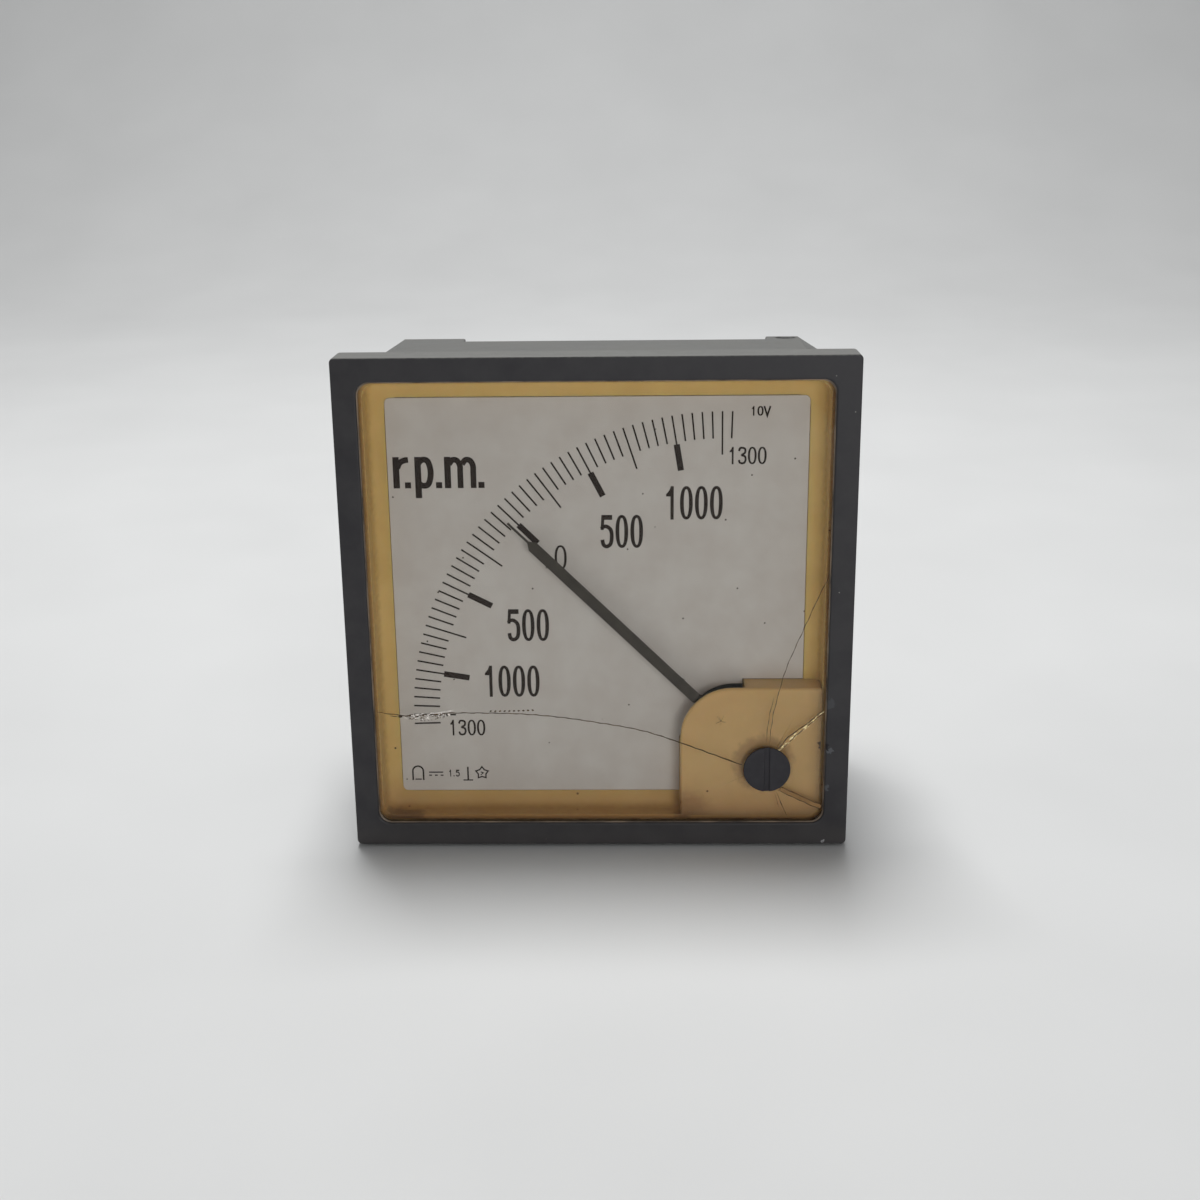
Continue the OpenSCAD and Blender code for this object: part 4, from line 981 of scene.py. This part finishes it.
def splinters(rows, front):
    """Small lens-shaped flakes (x, z, length, width, direction): half a sine wide along each."""
    t = np.linspace(0, 1, 7)
    flakes = []
    for x, z, length, width, direction in rows:
        along = np.array([cos(radians(direction)), sin(radians(direction))])
        path = np.array([x, z]) + np.outer((t - 0.5) * length, along)
        left, right, _ = edges_of(path, width * (0.1 + np.sin(pi * t)))
        flakes.append(band(left, right, front, front + 0.1))
    return flakes


def crack_material():
    # Fracture edges with dirt drawn into them: brown, dull and uneven
    return mottled("Dirty fracture edge", "#2e231a", "#6b5538", patch=1.2, grain=0.2, rough=0.5,
                   rough_span=0.2, specular=0.3)


def pane_material():
    """Clear acrylic sheet: see-through under the reflection of a polished, slightly hazed face.

    The reflection is the Fresnel share at acrylic's index of 1.49, brought down to about a third
    so that the dial stays clear behind it."""
    material, tree, shader, place = new_material("Clear acrylic sheet")
    tree.nodes.remove(shader)
    clear = add(tree, "ShaderNodeBsdfTransparent", {"Color": linear("#fbfaf7")})
    haze = add(tree, "ShaderNodeTexNoise", {"Vector": place, "Scale": per(6), "Detail": 5.0})
    rough = add(tree, "ShaderNodeMapRange", {"Value": haze.outputs[0], "From Min": 0.4,
                                             "From Max": 0.8, "To Min": 0.03, "To Max": 0.2})
    gloss = add(tree, "ShaderNodeBsdfGlossy", {"Roughness": rough.outputs[0]})
    edge = add(tree, "ShaderNodeFresnel", {"IOR": 1.49})
    half = add(tree, "ShaderNodeMath", {0: edge.outputs[0], 1: 0.35}, operation="MULTIPLY")
    mix = add(tree, "ShaderNodeMixShader", {0: half.outputs[0], 1: clear.outputs[0],
                                            2: gloss.outputs[0]})
    output = next(n for n in tree.nodes if n.type == "OUTPUT_MATERIAL")
    plug(tree, output, {"Surface": mix.outputs[0]})
    return material


class TACHO_OT_dial(bpy.types.Operator):
    """Build the dial plate with its corner cut out round the cover"""
    bl_idname = "tacho.dial"
    bl_label = "Dial"

    def execute(self, context):
        half, front, rear = DIAL_HI[0], DIAL_LO[1], DIAL_HI[1]
        corner, edge = 1.0, 0.12  # radius of its corners, and chamfer
        # The cut-out about the pivot, from its left side to its top side: it goes round the
        # cover, and where the cover is open, further out round the ledge with a free curve
        near, over = PIVOT[0] - COVER_LO[0] + 0.05, COVER_HI[2] - COVER_DROP + SEAM - PIVOT[1]
        ledge, reach, bend = 6.65, 4.1, 9.05
        curve = arc((bend - ledge, ledge - bend), bend, 180, 90, 24)
        notch = np.vstack([[(-near, -reach), (-ledge, -reach)], curve,
                           [(reach, ledge), (reach, over)]]) + PIVOT
        c = half - corner
        outline = np.vstack([arc((c, c), corner, 0, 90), arc((-c, c), corner, 90, 180),
                             arc((-c, -c), corner, 180, 270), [[notch[0, 0], -half]], notch,
                             [[half, notch[-1, 1]]]])
        inner = outline * (1 - edge / np.linalg.norm(outline, axis=1, keepdims=True))
        loops = at_depth(np.stack([inner, outline, outline, inner]),
                         [front, front + edge, rear - edge, rear])
        obj = weighted(piece("dial_plate", [solid(loops)]))
        finished(obj, dial_material(context.scene.tacho_colours), "case",
                 ["scale_plate"])
        return {"FINISHED"}


def dial_material(colours):
    # Stoved enamel on sheet metal: pale warm grey and nearly matt, with a few dark specks
    return mottled("Stoved enamel", colours.dial, colours.dial_patches, patch=8, grain=0.2,
                   rough=0.55, rough_span=0.08, bump=0.003, specular=0.3,
                   specks=(0.3, "#524c48", 2.6, 0.07))


class TACHO_OT_lettering(bpy.types.Operator):
    """Print the plain numbers, the unit and the small meter symbols on the dial"""
    bl_idname = "tacho.lettering"
    bl_label = "Printing"

    def execute(self, context):
        rear = DIAL_LO[1]
        front = rear - context.scene.tacho_sizes.ink / MM
        # Text, middle, height, stroke and the width of a nought, in millimetres
        large, small = (6.45, 0.72, 2.4), (3.3, 0.4, 1.64)
        numbers = [("1000", 18.1, 19.2, *large), ("500", 4.5, 13.7, *large),
                   ("500", -13.7, -4.9, *large), ("1000", -17.2, -16.4, *large),
                   ("1300", 28.0, 28.2, *small), ("1300", -26.3, -26.1, *small),
                   ("0", -7.2, 8.6, 4.9, 0.46, 2.3), ("10V", 30.3, 36.6, 1.8, 0.32, 1.15)]
        strokes = [stroke for entry in numbers for stroke in number(*entry)]
        strokes += unit() + symbols()
        ink = ink_material(context.scene.tacho_colours)
        # Each stroke's face is a micron off the one before, so that no two lie in one plane
        patches = [band(left, right, front - 0.001 * k % 0.01, rear, closed)
                   for k, (left, right, closed) in enumerate(strokes)]
        finished(piece("printed_figures", patches), ink, "case")
        coat(NODES["scale_marks"], ink)
        return {"FINISHED"}


def oval(wide, high, power=2.3):
    """Closed oval: (cos a, sin a) with each part raised to 2 / power, its sign kept."""
    a = np.linspace(0, 2 * pi, 48, endpoint=False)
    c, s = np.cos(a), np.sin(a)
    return np.stack([wide / 2 * np.sign(c) * np.abs(c) ** (2 / power),
                     high / 2 * np.sign(s) * np.abs(s) ** (2 / power)], 1)


def glyph(character, h, w, wide):
    """Strokes of one character of height h, stroke w and a width, about its own middle.

    Each stroke is a left edge, a right edge and whether it closes. The upright strokes are w
    wide, and the level ones a little thinner."""
    top = h / 2
    if character == "0":
        return [(oval(wide, h), oval(wide - 2 * w, h - 1.6 * w), True)]
    if character == "1":
        right = 0.25 * w + 0.04 * h
        left = right - 0.85 * w
        flag = left - 0.128 * h
        z = top - h * np.array([0, 0.12, 0.245, 0.305, 0.305, 1])
        x = np.array([left + 0.1 * w, left - 0.03 * h, flag, flag, left, left])
        return [(np.stack([x, z], 1), np.stack([np.full(6, right), z], 1), False)]
    if character == "5":
        bar = 1.3 * w
        foot = [(-0.42 * wide, top - 0.42 * h), (-0.3 * wide, top - 0.36 * h),
                (0.0, top - 0.35 * h), (0.32 * wide, top - 0.47 * h), (0.37 * wide, -0.2 * h),
                (0.27 * wide, -top + 0.12 * h), (-0.02 * wide, -top + 0.4 * w),
                (-0.28 * wide, -top + 0.1 * h), (-0.37 * wide, -top + 0.25 * h)]
        return [edges_of([(-0.34 * wide, top - bar / 2), (0.42 * wide, top - bar / 2)], bar),
                edges_of([(-0.3 * wide, top), (-0.38 * wide, top - 0.45 * h)], 0.8 * w),
                edges_of(curve_through(foot), w)]
    if character == "3":
        path = [(-0.38 * wide, top - 0.24 * h), (-0.26 * wide, top - 0.08 * h),
                (0.02 * wide, top - 0.45 * w), (0.3 * wide, top - 0.12 * h),
                (0.3 * wide, top - 0.33 * h), (-0.05 * wide, 0.03 * h), (0.28 * wide, -0.04 * h),
                (0.38 * wide, -0.22 * h), (0.26 * wide, -top + 0.11 * h),
                (0.0, -top + 0.45 * w), (-0.28 * wide, -top + 0.1 * h),
                (-0.38 * wide, -top + 0.25 * h)]
        return [edges_of(curve_through(path), 0.95 * w)]
    if character == "V":
        return [edges_of([(-wide / 2, top), (0, -top), (wide / 2, top)], w)]
    raise ValueError(f"no strokes for {character}")


def placed(strokes, x, z):
    """Strokes moved by (x, z)."""
    return [(left + [x, z], right + [x, z], closed) for left, right, closed in strokes]


def number(text, x, z, height, stroke, wide):
    """Characters side by side about (x, z), 0.065 of their height apart."""
    pitch = wide + 0.065 * height
    strokes = []
    for k, character in enumerate(text):
        strokes += placed(glyph(character, height, stroke, wide),
                          x + (k - (len(text) - 1) / 2) * pitch, z)
    return strokes


def unit():
    """The unit r.p.m. in bold letters with square dots, on a base line."""
    base, x_height, stem, square = 22.3, 6.0, 1.2, 1.15
    top = base + x_height
    strokes = []

    def upright(x, low=base):
        strokes.append(edges_of([(x, top), (x, low)], stem))

    def bow(points, wide):
        strokes.append(edges_of(curve_through(points), wide))

    def dot(x):
        strokes.append(edges_of([(x, base + square), (x, base)], square))

    upright(-37.85)
    bow([(-37.6, top - 2.1), (-37.1, top - 1.1), (-36.2, top - 0.62), (-35.5, top - 0.55)], 1.1)
    dot(-35.72)
    upright(-33.74, low=base - 1.9)
    bow([(-33.7, top - 1.3), (-32.9, top - 0.55), (-31.9, top - 0.75), (-31.4, top - 2.2),
         (-31.4, base + 2.2), (-31.9, base + 0.75), (-32.9, base + 0.5), (-33.7, base + 1.0)],
        1.12)
    dot(-29.85)
    upright(-28.15)
    for x in (-26.95, -24.5):
        bow([(x - 0.9, top - 1.4), (x - 0.2, top - 0.6), (x + 0.65, top - 0.75),
             (x + 1.15, top - 1.7), (x + 1.17, top - 3), (x + 1.17, base)], 1.08)
    dot(-21.85)
    return strokes


def symbols():
    """The small marks of a moving-coil meter for direct current, upright use and its test."""
    fine, bold, z = 0.24, 0.32, -35.85
    x = -36.4  # magnet with its coil
    magnet = np.vstack([[(x - 1.05, z - 1.45)], arc((x, z + 0.5), 1.05, 180, 0),
                        [(x + 1.05, z - 1.45)]])
    marks = [edges_of(magnet, bold), edges_of([(x - 0.6, z - 1.25), (x + 0.65, z - 1.25)], fine)]
    x = -32.8  # line and dashes of direct current
    marks.append(edges_of([(x - 1.4, z + 0.25), (x + 1.4, z + 0.25)], fine))
    for dx in (-1.15, 0, 1.15):
        marks.append(edges_of([(x + dx - 0.28, z - 0.4), (x + dx + 0.28, z - 0.4)], fine))
    for character, dx in (("1", -0.65), ("5", 0.8)):  # accuracy, with its point
        marks += placed(glyph(character, 1.45, 0.22, 0.75), -29.3 + dx, z + 0.05)
    marks.append(edges_of([(-29.25, z - 0.45), (-29.25, z - 0.65)], fine))
    x = -26.45  # upright on its base
    marks.append(edges_of([(x, z + 1.4), (x, z - 1.4)], bold))
    marks.append(edges_of([(x - 0.95, z - 1.45), (x + 0.95, z - 1.45)], fine))
    # Star with a small figure in it, for the test voltage
    turn = np.radians(90 + 36 * np.arange(10))
    star = np.stack([np.cos(turn), np.sin(turn)], 1)
    star = star * np.where(np.arange(10) % 2, 0.8, 1.3)[:, None]
    marks.append(edges_of(star + [-23.65, z + 0.1], 0.26, closed=True))
    marks.append(edges_of([(-23.9, z + 0.3), (-23.4, z + 0.1), (-23.9, z - 0.35)], 0.18))
    return marks


def ink_material(colours):
    # Screen-printed ink: brown-black, dull, slightly uneven
    return mottled("Printing ink", colours.ink, colours.ink_patches, patch=2, grain=0.1,
                   rough=0.6, bump=0.002, specular=0.15)


class TACHO_OT_details(bpy.types.Operator):
    """Build the pieces whose solid shape only needs softer edges"""
    bl_idname = "tacho.details"
    bl_label = "Small parts"

    def execute(self, context):
        colours = context.scene.tacho_colours
        # Moulded black plastic, greyed by dust and handling: matt and nearly even
        black = mottled("Black moulded plastic", colours.adjuster, colours.adjuster_patches,
                        patch=3, grain=0.2, rough=0.55, bump=0.006, specular=0.2)
        brass, steel = brass_material(), steel_material()
        finished(softened("zero_adjuster", "adjuster_knob", 0.12), black, "adjuster",
                 ["zero_adjuster"])
        lo, hi = extent("terminal_studs")
        stud = 2  # radius of an M4 thread
        threads = [threaded((x, (lo[2] + hi[2]) / 2), lo[1], hi[1], (hi[2] - lo[2]) / 2)
                   for x in (lo[0] + stud, hi[0] - stud)]
        finished(piece("terminal_threads", threads, smooth_angle=50), brass, "case",
                 ["terminal_studs"])
        for node, name, width, material, slot in [
                ("terminal_nuts", "terminal_hex_nuts", 0.25, brass, "brass"),
                ("terminal_washers", "terminal_plain_washers", 0.15, steel, "plated_steel")]:
            finished(softened(node, name, width), material, "case", [node])
        return {"FINISHED"}


def threaded(centre, front, rear, outer, pitch=0.7, core=1.65, free=8.0):
    """Stud along the y axis with a thread on its free rear end, and a plain core before it.

    At depth y and angle a the radius is core + (outer - core) * min(1, 1.2 |2f - 1|), where f is
    the fraction part of y / pitch - a / (2 pi). At the rear it stays under a 45 degree chamfer."""
    start = rear - free
    rows = np.arange(start + 0.02, rear, pitch / 10)
    y = np.concatenate([[front, start], rows, [rear]])[:, None]
    a = np.linspace(0, 2 * pi, 40, endpoint=False)
    wave = np.minimum(1, 1.2 * np.abs(2 * ((y / pitch - a / (2 * pi)) % 1) - 1))
    radius = np.minimum(core + (outer - core) * wave, core - 0.2 + rear - y)
    radius[:2] = core
    return solid(spread(centre[0] + radius * np.cos(a), y, centre[1] + radius * np.sin(a)))


def brass_material():
    # Turned brass: yellow metal, dulled in patches by tarnish
    return mottled("Turned brass", "#c8a552", "#a98a45", patch=3, grain=0.15, rough=0.32,
                   rough_span=0.15, bump=0.004, metallic=1.0)


def steel_material():
    # Zinc-plated steel: cool grey with a soft crystalline bloom
    return mottled("Zinc-plated steel", "#b4b6ba", "#9ea0a4", patch=2, grain=0.15, rough=0.35,
                   rough_span=0.12, bump=0.004, metallic=1.0)


class TACHO_OT_finishes(bpy.types.Operator):
    """Give every carried-over solid its own finish"""
    bl_idname = "tacho.finishes"
    bl_label = "Inner parts"

    def execute(self, context):
        for names, material in ((BRASS_PIECES, brass_material()),
                                (STEEL_PIECES, steel_material())):
            for node in names.split():
                coat(NODES[node], material)
        for names, name, tone, other, settings in INNER_FINISHES:
            material = mottled(name, tone, other, **settings)
            for node in names.split():
                coat(NODES[node], material)
        return {"FINISHED"}


# Solids that keep their own shape, and the finish of each
BRASS_PIECES = """zero_lever core_spacers front_bridge rear_bridge front_jewel_screw
    rear_jewel_screw jewel_lock_nuts stop_pins balance_arms balance_weights spring_collets
    inner_stud_nuts board_nuts"""
STEEL_PIECES = "adjuster_clip bridge_screws movement_screws front_staff rear_staff"
INNER_FINISHES = [
    # Aged rubber strip: pale brown and dead matt, with darker, hardened stretches
    ("window_seal", "Aged pale rubber", "#a5875a", "#7d6142",
     dict(patch=3, grain=0.3, rough=0.75)),
    # Annealed iron ring: plain grey metal with a dull bloom
    ("yoke_ring", "Annealed iron", "#77787c", "#68686a",
     dict(patch=4, grain=0.2, rough=0.5, rough_span=0.15, metallic=1.0)),
    # Cast magnet alloy, left rough from the mould: dark grey and grainy
    ("core_magnet", "Cast magnet alloy", "#5b5c60", "#4c4c50",
     dict(patch=2, grain=0.25, rough=0.6, bump=0.02, metallic=1.0)),
    # Rolled bronze strip, wound to springs: reddish, smooth and bright
    ("front_hairspring rear_hairspring", "Rolled bronze strip", "#b87333", "#a5652c",
     dict(patch=2, grain=0.1, rough=0.3, bump=0.002, metallic=1.0)),
    # Sheet metal under black lacquer, worn: brown-black with a low sheen
    ("pointer", "Black lacquered metal", "#3c3835", "#46423e",
     dict(patch=4, grain=0.15, rough=0.55, bump=0.003, specular=0.25)),
    # Drawn aluminium: pale metal with fine lines along the strip
    ("coil_former", "Drawn aluminium", "#c9cacc", "#b9babc",
     dict(patch=2, grain=0.1, rough=0.35, bump=0.003, metallic=1.0, stretch=(1, 6, 1))),
    # Copper wire under clear lacquer, its turns drawn coarser than they are: dark red ribs
    ("coil_winding", "Lacquered copper wire", "#a5552a", "#7c3c1c",
     dict(patch=0.25, grain=0.12, rough=0.3, bump=0.03, metallic=1.0, stretch=(1, 0.1, 1))),
    # Paper pressed with resin: brown board with long streaks of fibre
    ("resistor_board", "Pressed paper laminate", "#7a5a2e", "#6a4c26",
     dict(patch=1.2, grain=0.2, rough=0.5, stretch=(0.3, 1, 1))),
    # Moulded plastic in its natural colour: cream, even and satin
    ("board_spacers", "Pale moulded plastic", "#d8d2c0", "#cbc4b1",
     dict(patch=3, grain=0.2, rough=0.5)),
    # Lacquer baked on ceramic rods: brown, with a soft gloss
    ("series_resistors", "Baked resistor lacquer", "#8f6f4a", "#7f6040",
     dict(patch=1, grain=0.2, rough=0.4)),
    # Moulded plastic, dyed through: plain blue with a soft gloss
    ("calibration_trimmer", "Blue moulded plastic", "#2f5fa8", "#294f8c",
     dict(patch=2, grain=0.2, rough=0.4)),
    # Extruded wire sleeve: smooth and satin, one lead red and the other black
    ("internal_leads", "Wire sleeve", "#26262a", "#2f2f33",
     dict(patch=2, grain=0.2, rough=0.45,
          layers=[("x", PIVOT[0] - 0.2, PIVOT[0] + 0.2, 1, "#b02a24")])),
]


class TACHO_PT_panel(bpy.types.Panel):
    """Lists the steps that build the tachometer, and its settings"""
    bl_idname = "TACHO_PT_panel"
    bl_label = "Panel tachometer"
    bl_space_type = "VIEW_3D"
    bl_region_type = "UI"
    bl_category = "Tachometer"

    def draw(self, context):
        for settings in (context.scene.tacho_sizes, context.scene.tacho_colours,
                         context.scene.tacho_stage):
            box = self.layout.box()
            for key in settings.__annotations__:
                box.prop(settings, key)
        for operator in OPERATORS:
            self.layout.operator(operator.bl_idname)


OPERATORS = (TACHO_OT_stage, TACHO_OT_bezel, TACHO_OT_housing, TACHO_OT_tray, TACHO_OT_cover,
             TACHO_OT_window, TACHO_OT_dial, TACHO_OT_lettering, TACHO_OT_details,
             TACHO_OT_finishes)
GROUPS = {"tacho_sizes": TachoSizes, "tacho_colours": TachoColours, "tacho_stage": TachoStage}


def register():
    for cls in (*GROUPS.values(), *OPERATORS, TACHO_PT_panel):
        bpy.utils.register_class(cls)
    for name, group in GROUPS.items():
        setattr(bpy.types.Scene, name, bpy.props.PointerProperty(type=group))


def unregister():
    for name in GROUPS:
        delattr(bpy.types.Scene, name)
    for cls in (TACHO_PT_panel, *OPERATORS[::-1], *GROUPS.values()):
        bpy.utils.unregister_class(cls)


def main():
    register()
    bpy.ops.tacho.stage()
    bpy.ops.tacho.bezel()
    bpy.ops.tacho.housing()
    bpy.ops.tacho.tray()
    bpy.ops.tacho.cover()
    bpy.ops.tacho.window()
    bpy.ops.tacho.dial()
    bpy.ops.tacho.lettering()
    bpy.ops.tacho.details()
    bpy.ops.tacho.finishes()


if __name__ == "__main__":
    main()
